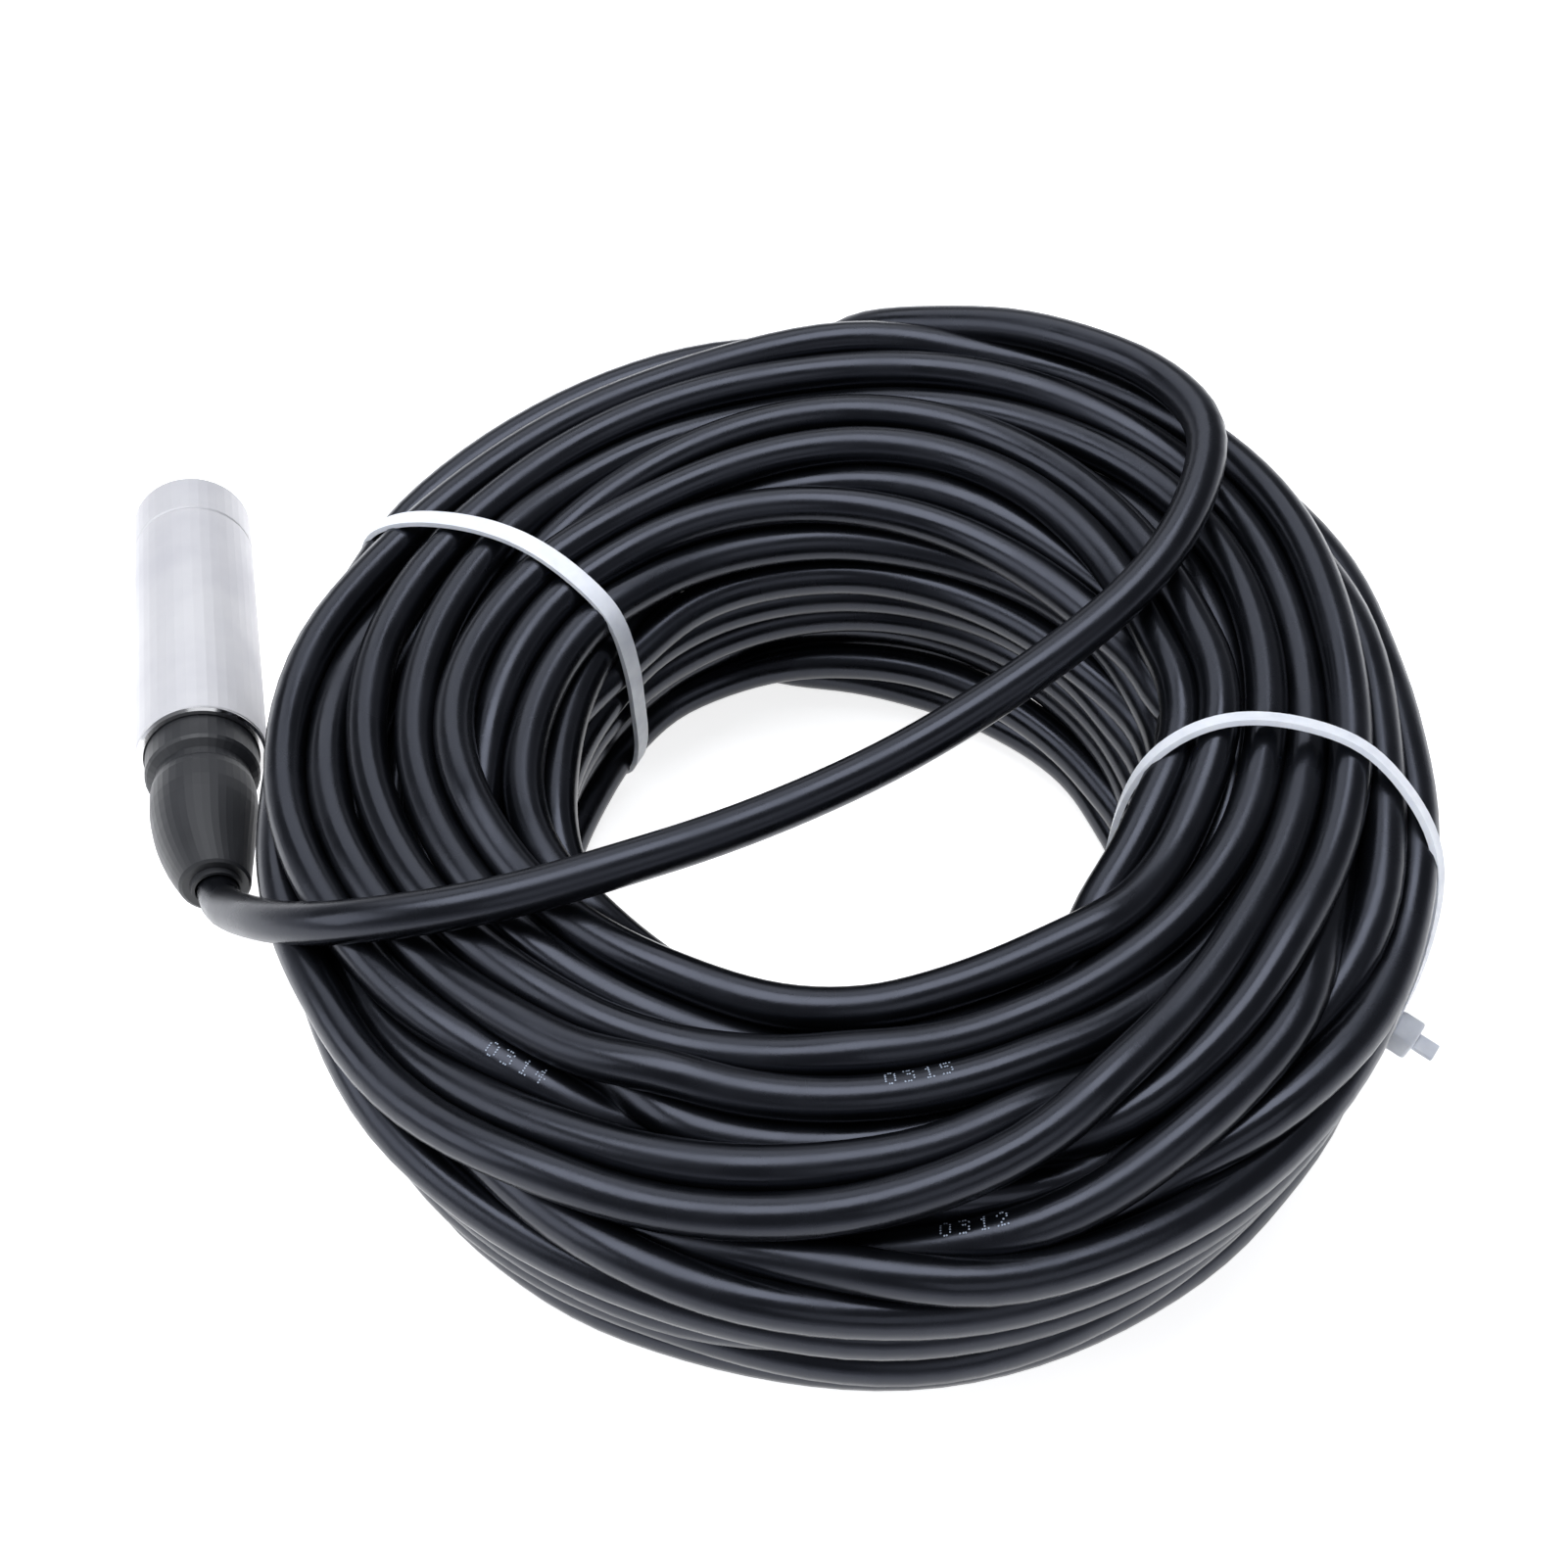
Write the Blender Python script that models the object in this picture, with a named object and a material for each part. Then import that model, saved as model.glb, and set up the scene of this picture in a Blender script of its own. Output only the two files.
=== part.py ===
"""Submersible liquid level sensor on a tied coil of cable.

Metres, +Z up. The probe lies along +Y with its nose on the ground and its cable end raised; the coil lies
to its right. Every turned piece of the probe is drawn in the probe's own frame: z = 0 at the rear rim of
the housing, +z towards the nose.
"""
import math

import bmesh
import bpy
from mathutils import Matrix, Vector

# Fits shared by all pieces
CLEARANCE = 0.0003
OUTER_SEGMENTS = 40
INNER_SEGMENTS = 28

# Housing
HOUSING_RADIUS = 0.0135
HOUSING_LENGTH = 0.0760
PROBE_PITCH = math.radians(8.7)
HOUSING_WALL = 0.0025
GLAND_RIM_WALL = 0.0011
GLAND_SEAT_DEPTH = 0.0090
SHOULDER_STEP = 0.0035
SHOULDER_WALL = 0.0030
CELL_WALL = 0.0037
CELL_BORE_DEPTH = 0.0100
FRONT_WALL = 0.0020
FRONT_BORE_DEPTH = 0.0130
EDGE_BREAK = 0.0003

# Nose cap, screwed into the front bore
CAP_LENGTH = 0.01345
CAP_FRONT_WALL = 0.00325
CAP_CROWN_DEPTH = 0.0011
CAP_CROWN_WIDTH = 0.0027
SPIGOT_LENGTH = 0.0068
SPIGOT_WALL = 0.0028
CAP_SEAL_GROOVE_DEPTH = 0.0017
CAP_SEAL_GROOVE_WIDTH = 0.0022
CAP_SEAL_GROOVE_BACK = 0.0005
INLET_COUNT = 6
INLET_RADIUS = 0.0016
INLET_MARGIN = 0.0013

# Pressure cell
CELL_LENGTH = 0.0092
CELL_RIM = 0.0011
CELL_SEAL_GROOVE_DEPTH = 0.0014
CELL_SEAL_GROOVE_WIDTH = 0.0024
CELL_SEAL_GROOVE_BACK = 0.0032
DIAPHRAGM_SHEET = 0.00025
DIAPHRAGM_RIPPLE = 0.00013
DIAPHRAGM_RIPPLES = 3
DIAPHRAGM_FLAT_RADIUS = 0.0028
CLAMP_LENGTH = 0.0035
CLAMP_LIP = 0.0008
CLAMP_SLOT_WIDTH = 0.0016
CLAMP_SLOT_DEPTH = 0.0012
PIN_RADIUS = 0.00045
PIN_SPACING = 0.0050
PIN_OVERLAP = 0.0040
VENT_TUBE_RADIUS = 0.0011
VENT_TUBE_BORE = 0.0006
VENT_TUBE_OFFSET = 0.0045

# Electronics
BOARD_THICKNESS = 0.0016
BOARD_SETBACK = 0.0010
BOARD_TO_GLAND = 0.0020
BOARD_RING_WALL = 0.0027
BOARD_RING_LENGTH = 0.0032
BOARD_RING_BITE = 0.0008
BOARD_RING_INSET = 0.0010
CHIP_SIZE = (0.0062, 0.0014, 0.0052)
TRANSISTOR_SIZE = (0.0066, 0.0023, 0.0060)
TRANSISTOR_OFFSET = 0.0030
SUPPRESSOR_SIZE = (0.0028, 0.0021, 0.0044)
SUPPRESSOR_OFFSET = 0.0050
CAPACITOR_RADIUS = 0.0020
CAPACITOR_HEIGHT = 0.0030
CAPACITOR_OFFSET = -0.0040
ROW_GAP = 0.0010
CONDUCTOR_RADIUS = 0.0006
CONDUCTOR_SPACING = 0.0034
CONDUCTOR_OVERLAP = 0.0035

# Cable gland inside the rear of the housing
GLAND_FLANGE = 0.0022
GLAND_BODY_LENGTH = 0.0165
GLAND_GROOVE_DEPTH = 0.0013
GLAND_GROOVE_WIDTH = 0.0020
GLAND_GROOVE_SETBACK = 0.0060
GLAND_THREAD_WALL = 0.0022
NUT_THREAD_LENGTH = 0.0044
NUT_FLANGE_STEP = 0.0008
NUT_FLANGE = 0.0032
GROMMET_WALL = 0.0029
GROMMET_LENGTH = 0.0074
WASHER_THICKNESS = 0.0008

# Moulded strain relief boot, s = distance behind the rear rim
BOOT_ROOT_LENGTH = 0.0052
BOOT_RIM_GAP = 0.00075
BOOT_NECK_LENGTH = 0.0074
BOOT_WAIST_DEPTH = 0.00175
BOOT_WAIST_WIDTH = 0.0040
BOOT_BARREL_STEP = 0.0009
BOOT_BARREL_PEAK = 0.0180
BOOT_END = 0.0413
BOOT_END_WALL = 0.0029
BOOT_LIP_WALL = 0.0009
BOOT_LIP_LENGTH = 0.0017
BOOT_BEND_START = 0.0240
BOOT_BEND_SIDE = 0.0021
BOOT_BEND_UP = 0.0009

# Cable
CABLE_RADIUS = 0.0040
CABLE_POINT_SPACING = 0.0140
CORE_RADIUS = 0.0008
CAPILLARY_RADIUS = 0.0011
CORE_LENGTH = 0.0180

# Coil
COIL_GAP = 0.0011
COIL_SETBACK = 0.0806
COIL_INNER_RADIUS = 0.0540
COIL_OUTER_RADIUS = 0.1100
COIL_HEIGHT = 0.0660
COIL_TOP_CORNER = 0.0190
COIL_BASE_CORNER = 0.0120
COIL_TILT = 0.14
COIL_HIGH_SIDE = math.radians(36)
COIL_SEGMENTS = 48

# Ties round the coil
TIE_AZIMUTHS = {"tie_left": math.radians(132), "tie_right": math.radians(-21)}
STRAP_WIDTH = 0.0036
STRAP_THICKNESS = 0.0012
TIE_HEAD_WIDTH = 0.0058
TIE_HEAD_DEPTH = 0.0046
TIE_HEAD_HEIGHT = 0.0054
TIE_HEAD_LEVEL = 0.0120

# Route of the free cable from the boot to the back of the coil
LEAD_ROUTE = (
    (0.0089, -0.0814, 0.0446),
    (0.0182, -0.0927, 0.0544),
    (0.0324, -0.1008, 0.0618),
    (0.0549, -0.1043, 0.0652),
    (0.0762, -0.1025, 0.0654),
    (0.0985, -0.0987, 0.0648),
    (0.1280, -0.0915, 0.0658),
    (0.1518, -0.0841, 0.0696),
    (0.1770, -0.0742, 0.0757),
    (0.1948, -0.0620, 0.0806),
    (0.2064, -0.0470, 0.0840),
    (0.2100, -0.0350, 0.0850),
    (0.2068, -0.0196, 0.0842),
    (0.1987, -0.0062, 0.0826),
    (0.1863, 0.0077, 0.0798),
    (0.1726, 0.0194, 0.0748),
    (0.1581, 0.0304, 0.0677),
    (0.1450, 0.0338, 0.0585),
    (0.1330, 0.0335, 0.0485),
)
# Tail behind the coil, as (azimuth in degrees, distance from where it would touch the coil, height)
TAIL_ROUTE = (
    (72, 0.0005, 0.0150),
    (82, 0.0006, 0.0125),
    (92, 0.0028, 0.0080),
    (101, 0.0072, 0.0058),
    (109, 0.0128, 0.0052),
)

# Radii that follow from the housing and the walls
MAIN_BORE_RADIUS = HOUSING_RADIUS - HOUSING_WALL
GLAND_SEAT_RADIUS = HOUSING_RADIUS - GLAND_RIM_WALL
SHOULDER_RADIUS = MAIN_BORE_RADIUS - SHOULDER_STEP
CELL_BORE_RADIUS = HOUSING_RADIUS - CELL_WALL
FRONT_BORE_RADIUS = HOUSING_RADIUS - FRONT_WALL
SPIGOT_RADIUS = FRONT_BORE_RADIUS - CLEARANCE
CAP_CHAMBER_RADIUS = SPIGOT_RADIUS - SPIGOT_WALL
CAP_SEAL_GROOVE_RADIUS = SPIGOT_RADIUS - CAP_SEAL_GROOVE_DEPTH
INLET_CIRCLE_RADIUS = CAP_CHAMBER_RADIUS - INLET_RADIUS - INLET_MARGIN
CELL_RADIUS = CELL_BORE_RADIUS - CLEARANCE
CELL_SEAL_GROOVE_RADIUS = CELL_RADIUS - CELL_SEAL_GROOVE_DEPTH
CELL_RECESS_RADIUS = CELL_RADIUS - CELL_RIM
DIAPHRAGM_RADIUS = CELL_RECESS_RADIUS - CLEARANCE
CLAMP_BORE_RADIUS = CELL_RECESS_RADIUS - CLAMP_LIP
INNER_FIT_RADIUS = MAIN_BORE_RADIUS - CLEARANCE
BOARD_RING_INNER = INNER_FIT_RADIUS - BOARD_RING_WALL
BOARD_WIDTH = 2 * (BOARD_RING_INNER + BOARD_RING_BITE)
GLAND_GROOVE_RADIUS = INNER_FIT_RADIUS - GLAND_GROOVE_DEPTH
GLAND_THREAD_RADIUS = INNER_FIT_RADIUS - GLAND_THREAD_WALL
NUT_THREAD_RADIUS = GLAND_THREAD_RADIUS - CLEARANCE
NUT_FLANGE_RADIUS = NUT_THREAD_RADIUS + NUT_FLANGE_STEP
CABLE_HOLE_RADIUS = CABLE_RADIUS + CLEARANCE
GROMMET_RADIUS = CABLE_HOLE_RADIUS + GROMMET_WALL
BOOT_ROOT_RADIUS = GLAND_SEAT_RADIUS - CLEARANCE
BOOT_NECK_RADIUS = GLAND_SEAT_RADIUS - BOOT_RIM_GAP
BOOT_WAIST_RADIUS = BOOT_NECK_RADIUS - BOOT_WAIST_DEPTH
BOOT_BARREL_RADIUS = BOOT_NECK_RADIUS - BOOT_BARREL_STEP
BOOT_END_RADIUS = CABLE_RADIUS + BOOT_END_WALL
BOOT_LIP_RADIUS = CABLE_RADIUS + BOOT_LIP_WALL
COIL_CENTRE = Vector((HOUSING_RADIUS + COIL_GAP + COIL_OUTER_RADIUS, -COIL_SETBACK, 0.0))

# Stations along the probe, all measured from the rear rim
SHOULDER_FACE = HOUSING_LENGTH - FRONT_BORE_DEPTH - CELL_BORE_DEPTH
MAIN_BORE_END = SHOULDER_FACE - SHOULDER_WALL
CELL_BACK = SHOULDER_FACE + CLEARANCE
CELL_FRONT = CELL_BACK + CELL_LENGTH
FRONT_BORE_FLOOR = HOUSING_LENGTH - FRONT_BORE_DEPTH
CAP_FACE = HOUSING_LENGTH + CLEARANCE
NOSE_FACE = CAP_FACE + CAP_LENGTH
CAP_GROOVE_FRONT = CAP_FACE - CAP_SEAL_GROOVE_BACK
GLAND_FRONT_OF_FLANGE = GLAND_SEAT_DEPTH - CLEARANCE
GLAND_BACK = GLAND_FRONT_OF_FLANGE - GLAND_FLANGE
GLAND_FRONT = GLAND_BACK + GLAND_BODY_LENGTH
NUT_FRONT = GLAND_BACK + NUT_THREAD_LENGTH
NUT_BACK = GLAND_BACK - CLEARANCE - NUT_FLANGE
CHAMBER_BACK = NUT_FRONT + CLEARANCE
WASHER_FRONT = CHAMBER_BACK + WASHER_THICKNESS
GROMMET_BACK = WASHER_FRONT + CLEARANCE
GROMMET_FRONT = GROMMET_BACK + GROMMET_LENGTH
CABLE_END = GLAND_FRONT - 2 * CLEARANCE
BOARD_FRONT = MAIN_BORE_END - BOARD_SETBACK
BOARD_BACK = GLAND_FRONT + BOARD_TO_GLAND
BOARD_LENGTH = BOARD_FRONT - BOARD_BACK
BOOT_LENGTH = BOOT_END + BOOT_LIP_LENGTH


def material(name, colour, roughness, metallic=0.0):
    """One Principled material per kind of surface."""
    made = bpy.data.materials.get(name)
    if made is None:
        made = bpy.data.materials.new(name)
        made.use_nodes = True
        shader = made.node_tree.nodes["Principled BSDF"]
        shader.inputs["Base Color"].default_value = (*colour, 1.0)
        shader.inputs["Roughness"].default_value = roughness
        shader.inputs["Metallic"].default_value = metallic
        made.diffuse_color = (*colour, 1.0)
    return made


STEEL = ("blasted_steel", (0.62, 0.62, 0.61), 0.45, 1.0)
TURNED_STEEL = ("turned_steel", (0.66, 0.66, 0.66), 0.22, 1.0)
NICKEL = ("nickel_plate", (0.60, 0.58, 0.52), 0.25, 1.0)
BRASS = ("brass", (0.60, 0.43, 0.16), 0.30, 1.0)
BLACK_RUBBER = ("black_rubber", (0.012, 0.012, 0.014), 0.55)
SEAL_RUBBER = ("seal_rubber", (0.02, 0.02, 0.02), 0.6)
BLACK_JACKET = ("black_jacket", (0.012, 0.013, 0.016), 0.32)
WHITE_NYLON = ("white_nylon", (0.78, 0.77, 0.74), 0.4)
BOARD_GREEN = ("board_green", (0.02, 0.16, 0.06), 0.4)
CHIP_BLACK = ("chip_black", (0.02, 0.02, 0.02), 0.5)
TANTALUM = ("tantalum_yellow", (0.62, 0.42, 0.07), 0.45)
RED_INSULATION = ("red_insulation", (0.55, 0.02, 0.02), 0.4)
CLEAR_CAPILLARY = ("clear_capillary", (0.75, 0.75, 0.72), 0.3)


def add_object(name, mesh, look, parent=None, location=(0.0, 0.0, 0.0), sharp=35):
    """Link a mesh as a named object with smooth faces and real edges."""
    item = bpy.data.objects.new(name, mesh)
    bpy.context.scene.collection.objects.link(item)
    mesh.materials.append(material(*look))
    mesh.shade_smooth()
    mesh.set_sharp_from_angle(angle=math.radians(sharp))
    item.parent = parent
    item.location = location
    return item


def close_mesh(name, bm):
    """Merge coincident points, face everything outward and return the mesh."""
    bmesh.ops.remove_doubles(bm, verts=bm.verts, dist=1e-6)
    bmesh.ops.recalc_face_normals(bm, faces=bm.faces)
    mesh = bpy.data.meshes.new(name)
    bm.to_mesh(mesh)
    bm.free()
    return mesh


def turned(name, profile, look, parent, station=0.0, segments=OUTER_SEGMENTS, closed=True, sharp=35):
    """Turn a profile of (radius, z) points about the probe's axis, with the object's origin at a station."""
    bm = bmesh.new()
    points = [bm.verts.new((radius, 0.0, z - station)) for radius, z in profile]
    pairs = list(zip(points, points[1:]))
    if closed:
        pairs.append((points[-1], points[0]))
    edges = [bm.edges.new(pair) for pair in pairs]
    bmesh.ops.spin(bm, geom=points + edges, cent=(0, 0, 0), axis=(0, 0, 1), angle=math.tau,
                   steps=segments, use_merge=True)
    return add_object(name, close_mesh(name, bm), look, parent, (0.0, 0.0, station), sharp)


def block(name, size, look, parent, location, sharp=35):
    """A plain block centred on its location."""
    bm = bmesh.new()
    bmesh.ops.create_cube(bm, size=1.0, matrix=Matrix.Diagonal((*size, 1.0)))
    return add_object(name, close_mesh(name, bm), look, parent, location, sharp)


def rod(name, radius, start, end, look, parent, offset=(0.0, 0.0), segments=10, bore=0.0):
    """A round rod, or a tube if it has a bore, along the probe's axis."""
    inner = [(bore, start), (bore, end)] if bore else [(0.0, start), (0.0, end)]
    profile = [inner[0], (radius, start), (radius, end), inner[1]]
    item = turned(name, profile, look, parent, start, segments, closed=bool(bore))
    item.location = (offset[0], offset[1], start)
    return item


def cut(target, tool):
    """Cut a hidden tool out of a target."""
    tool.hide_render = True
    tool.display_type = "WIRE"
    step = target.modifiers.new("cut_" + tool.name, "BOOLEAN")
    step.operation = "DIFFERENCE"
    step.solver = "EXACT"
    step.object = tool


def arc(centre, radius, start, end, steps):
    """Points on an arc, by angles in degrees."""
    points = []
    for step in range(steps + 1):
        angle = math.radians(start + (end - start) * step / steps)
        points.append((centre[0] + radius * math.cos(angle), centre[1] + radius * math.sin(angle)))
    return points


def smooth_curve(points, spacing):
    """Points at an even spacing along the natural cubic spline through the given points."""
    count = len(points)
    knots = [0.0]
    for before, after in zip(points, points[1:]):
        knots.append(knots[-1] + (after - before).length)
    gaps = [b - a for a, b in zip(knots, knots[1:])]
    slopes = [(b - a) / gap for a, b, gap in zip(points, points[1:], gaps)]
    diagonal = [1.0] * count
    right = [Vector((0, 0, 0)) for _ in range(count)]
    upper = [0.0] * count
    for i in range(1, count - 1):
        diagonal[i] = 2 * (gaps[i - 1] + gaps[i]) - gaps[i - 1] * upper[i - 1]
        upper[i] = gaps[i] / diagonal[i]
        right[i] = (6 * (slopes[i] - slopes[i - 1]) - gaps[i - 1] * right[i - 1]) / diagonal[i]
    bends = [Vector((0, 0, 0)) for _ in range(count)]
    for i in range(count - 2, 0, -1):
        bends[i] = right[i] - upper[i] * bends[i + 1]
    steps = max(2, round(knots[-1] / spacing))
    made = []
    for step in range(steps + 1):
        place = knots[-1] * step / steps
        i = min(max(k for k in range(count - 1) if knots[k] <= place), count - 2)
        a, b, gap = knots[i + 1] - place, place - knots[i], gaps[i]
        made.append(bends[i] * (a ** 3 / (6 * gap)) + bends[i + 1] * (b ** 3 / (6 * gap))
                    + (points[i] / gap - bends[i] * gap / 6) * a
                    + (points[i + 1] / gap - bends[i + 1] * gap / 6) * b)
    return made


def tube(name, points, radius, look, parent=None, resolution=2):
    """A round tube with filled ends along a list of points."""
    curve = bpy.data.curves.new(name, "CURVE")
    curve.dimensions = "3D"
    curve.bevel_depth = radius
    curve.bevel_resolution = resolution
    curve.use_fill_caps = True
    spline = curve.splines.new("POLY")
    spline.points.add(len(points) - 1)
    for slot, point in zip(spline.points, points):
        slot.co = (*point, 1.0)
    curve.materials.append(material(*look))
    item = bpy.data.objects.new(name, curve)
    bpy.context.scene.collection.objects.link(item)
    item.parent = parent
    return item


def boot_shift(s):
    """Sideways and upward shift of the boot's centre line, bent by the pull of the stiff cable."""
    share = max(0.0, (s - BOOT_BEND_START) / (BOOT_LENGTH - BOOT_BEND_START))
    return Vector((BOOT_BEND_SIDE * share ** 2, BOOT_BEND_UP * share ** 2, 0.0))


def boot_centre_line():
    """Centre line of the cable inside the gland and the boot, in the probe's frame."""
    line = [Vector((0.0, 0.0, CABLE_END)), Vector((0.0, 0.0, -BOOT_BEND_START))]
    steps = 5
    for step in range(1, steps + 1):
        s = BOOT_BEND_START + (BOOT_LENGTH - BOOT_BEND_START) * step / steps
        shift = boot_shift(s)
        line.append(Vector((shift.x, -shift.y, -s)))
    return line


def boot_outer_profile():
    """Root bead, neck, waist groove, barrel, tapered end and lip, from the root backwards."""
    root_front = GLAND_BACK - CLEARANCE
    points = [(BOOT_ROOT_RADIUS, root_front), (BOOT_ROOT_RADIUS, root_front - BOOT_ROOT_LENGTH)]
    points.append((BOOT_NECK_RADIUS, root_front - BOOT_ROOT_LENGTH))
    points.append((BOOT_NECK_RADIUS, -BOOT_NECK_LENGTH + 0.0008))
    points.append((BOOT_NECK_RADIUS - 0.0004, -BOOT_NECK_LENGTH))
    waist_end = BOOT_NECK_LENGTH + BOOT_WAIST_WIDTH
    points.append((BOOT_WAIST_RADIUS, -BOOT_NECK_LENGTH - 0.3 * BOOT_WAIST_WIDTH))
    points.append((BOOT_WAIST_RADIUS, -waist_end + 0.2 * BOOT_WAIST_WIDTH))
    points.append((BOOT_BARREL_RADIUS - 0.0004, -waist_end))
    points.append((BOOT_BARREL_RADIUS - 0.00008, -waist_end - 0.0020))
    points.append((BOOT_BARREL_RADIUS, -BOOT_BARREL_PEAK))
    steps = 7
    fall = BOOT_BARREL_RADIUS - BOOT_END_RADIUS
    for step in range(1, steps + 1):
        share = step / steps
        s = BOOT_BARREL_PEAK + (BOOT_END - 0.0005 - BOOT_BARREL_PEAK) * share
        points.append((BOOT_BARREL_RADIUS - fall * share ** 1.5, -s))
    points.append((BOOT_END_RADIUS - 0.0006, -BOOT_END))
    points.append((BOOT_LIP_RADIUS, -BOOT_END))
    points.append((BOOT_LIP_RADIUS, -BOOT_LENGTH))
    return points


def nose_profile():
    """Outside of the nose cap, from its joint with the housing to the nose face."""
    points = [(HOUSING_RADIUS - EDGE_BREAK, CAP_FACE), (HOUSING_RADIUS, CAP_FACE + EDGE_BREAK)]
    for step in range(5):
        angle = math.radians(90 * step / 4)
        points.append((HOUSING_RADIUS - CAP_CROWN_WIDTH * (1 - math.cos(angle)),
                       NOSE_FACE - CAP_CROWN_DEPTH * (1 - math.sin(angle))))
    return points


def probe_frame():
    """Empty on the probe's axis at the rear rim, pitched so that the nose rests on the ground."""
    sine, cosine = math.sin(PROBE_PITCH), math.cos(PROBE_PITCH)
    lowest = min(-z * sine - radius * cosine for radius, z in nose_profile())
    front = max(z * cosine + radius * sine for radius, z in nose_profile())
    backward = Vector((0.0, sine, -cosine))
    line = boot_centre_line()
    along = (line[-1] - line[-2]).normalized()
    face = line[-1].dot(backward) + CABLE_RADIUS * math.sqrt(1 - along.dot(backward) ** 2)
    back = -max(face, (line[-1] + Vector((0.0, BOOT_LIP_RADIUS, 0.0))).dot(backward))
    frame = bpy.data.objects.new("probe_axis", None)
    bpy.context.scene.collection.objects.link(frame)
    frame.location = (0.0, -(front + back) / 2, -lowest)
    frame.rotation_euler = (-math.pi / 2 - PROBE_PITCH, 0.0, 0.0)
    bpy.context.view_layer.update()
    return frame


def build_housing(axis):
    """Turned tube with the gland seat, the shoulder for the cell and the front bore for the cap."""
    edge = EDGE_BREAK
    turned("housing_tube", [
        (GLAND_SEAT_RADIUS, 0.0), (HOUSING_RADIUS - edge, 0.0), (HOUSING_RADIUS, edge),
        (HOUSING_RADIUS, HOUSING_LENGTH - edge), (HOUSING_RADIUS - edge, HOUSING_LENGTH),
        (FRONT_BORE_RADIUS, HOUSING_LENGTH), (FRONT_BORE_RADIUS, FRONT_BORE_FLOOR),
        (CELL_BORE_RADIUS, FRONT_BORE_FLOOR), (CELL_BORE_RADIUS, SHOULDER_FACE),
        (SHOULDER_RADIUS, SHOULDER_FACE), (SHOULDER_RADIUS, MAIN_BORE_END),
        (MAIN_BORE_RADIUS, MAIN_BORE_END), (MAIN_BORE_RADIUS, GLAND_SEAT_DEPTH),
        (GLAND_SEAT_RADIUS, GLAND_SEAT_DEPTH)], STEEL, axis)


def build_nose_cap(axis):
    """Cap with a spigot, a seal groove, a pressure chamber and a ring of inlets in its front wall."""
    spigot = SPIGOT_RADIUS
    back = CAP_FACE - SPIGOT_LENGTH
    chamber_floor = NOSE_FACE - CAP_FRONT_WALL
    groove_back = CAP_GROOVE_FRONT - CAP_SEAL_GROOVE_WIDTH
    profile = [(0.0, chamber_floor), (CAP_CHAMBER_RADIUS, chamber_floor), (CAP_CHAMBER_RADIUS, back),
               (spigot - EDGE_BREAK, back), (spigot, back + EDGE_BREAK), (spigot, groove_back),
               (CAP_SEAL_GROOVE_RADIUS, groove_back), (CAP_SEAL_GROOVE_RADIUS, CAP_GROOVE_FRONT),
               (spigot, CAP_GROOVE_FRONT), (spigot, CAP_FACE)]
    profile += nose_profile() + [(0.0, NOSE_FACE)]
    cap = turned("nose_cap", profile, STEEL, axis, CAP_FACE, closed=False)
    bm = bmesh.new()
    for index in range(INLET_COUNT):
        angle = math.tau * (index + 0.5) / INLET_COUNT
        place = Matrix.Translation((INLET_CIRCLE_RADIUS * math.cos(angle), INLET_CIRCLE_RADIUS * math.sin(angle),
                                    CAP_LENGTH - CAP_FRONT_WALL / 2))
        bmesh.ops.create_cone(bm, cap_ends=True, segments=12, radius1=INLET_RADIUS, radius2=INLET_RADIUS,
                              depth=2 * CAP_FRONT_WALL, matrix=place)
    cut(cap, add_object("inlet_cutter", close_mesh("inlet_cutter", bm), STEEL, axis, (0, 0, CAP_FACE)))


def seal_ring(name, groove_radius, bore_radius, groove_back, groove_width, axis):
    """Round section ring centred in its groove, clear of the groove's floor and of the bore."""
    middle = (groove_radius + bore_radius) / 2
    thickness = (bore_radius - groove_radius) / 2 - CLEARANCE
    station = groove_back + groove_width / 2
    section = arc((middle, station), thickness, 0, 315, 7)
    turned(name, section, SEAL_RUBBER, axis, station, INNER_SEGMENTS, sharp=80)


def build_pressure_cell(axis):
    """Steel cell with its seal, the rippled diaphragm, the clamp ring and the pins to the board."""
    outer = CELL_RADIUS
    groove_back = CELL_BACK + CELL_SEAL_GROOVE_BACK
    groove_front = groove_back + CELL_SEAL_GROOVE_WIDTH
    recess = CELL_RECESS_RADIUS
    recess_depth = DIAPHRAGM_SHEET + 2 * DIAPHRAGM_RIPPLE + CLEARANCE
    turned("sensor_cell", [
        (0.0, CELL_BACK), (outer - EDGE_BREAK, CELL_BACK), (outer, CELL_BACK + EDGE_BREAK), (outer, groove_back),
        (CELL_SEAL_GROOVE_RADIUS, groove_back), (CELL_SEAL_GROOVE_RADIUS, groove_front), (outer, groove_front),
        (outer, CELL_FRONT), (recess, CELL_FRONT), (recess, CELL_FRONT - recess_depth),
        (0.0, CELL_FRONT - recess_depth)], TURNED_STEEL, axis, CELL_BACK, INNER_SEGMENTS, closed=False)
    seal_ring("cell_seal_ring", CELL_SEAL_GROOVE_RADIUS, CELL_BORE_RADIUS, groove_back,
              CELL_SEAL_GROOVE_WIDTH, axis)
    build_diaphragm(axis, CELL_FRONT - recess_depth + CLEARANCE + DIAPHRAGM_RIPPLE)
    build_clamp_ring(axis)
    for index in range(4):
        side = PIN_SPACING / 2 * (1 if index % 2 else -1)
        level = (BOARD_THICKNESS / 2 + CLEARANCE + PIN_RADIUS) * (1 if index > 1 else -1)
        rod("header_pin_%d" % (index + 1), PIN_RADIUS, BOARD_FRONT - PIN_OVERLAP, CELL_BACK - CLEARANCE,
            BRASS, axis, (side, level), segments=8)
    rod("cell_vent_tube", VENT_TUBE_RADIUS, BOARD_BACK - 0.0005, CELL_BACK - CLEARANCE, TURNED_STEEL, axis,
        (0.0, VENT_TUBE_OFFSET), bore=VENT_TUBE_BORE)


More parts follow.
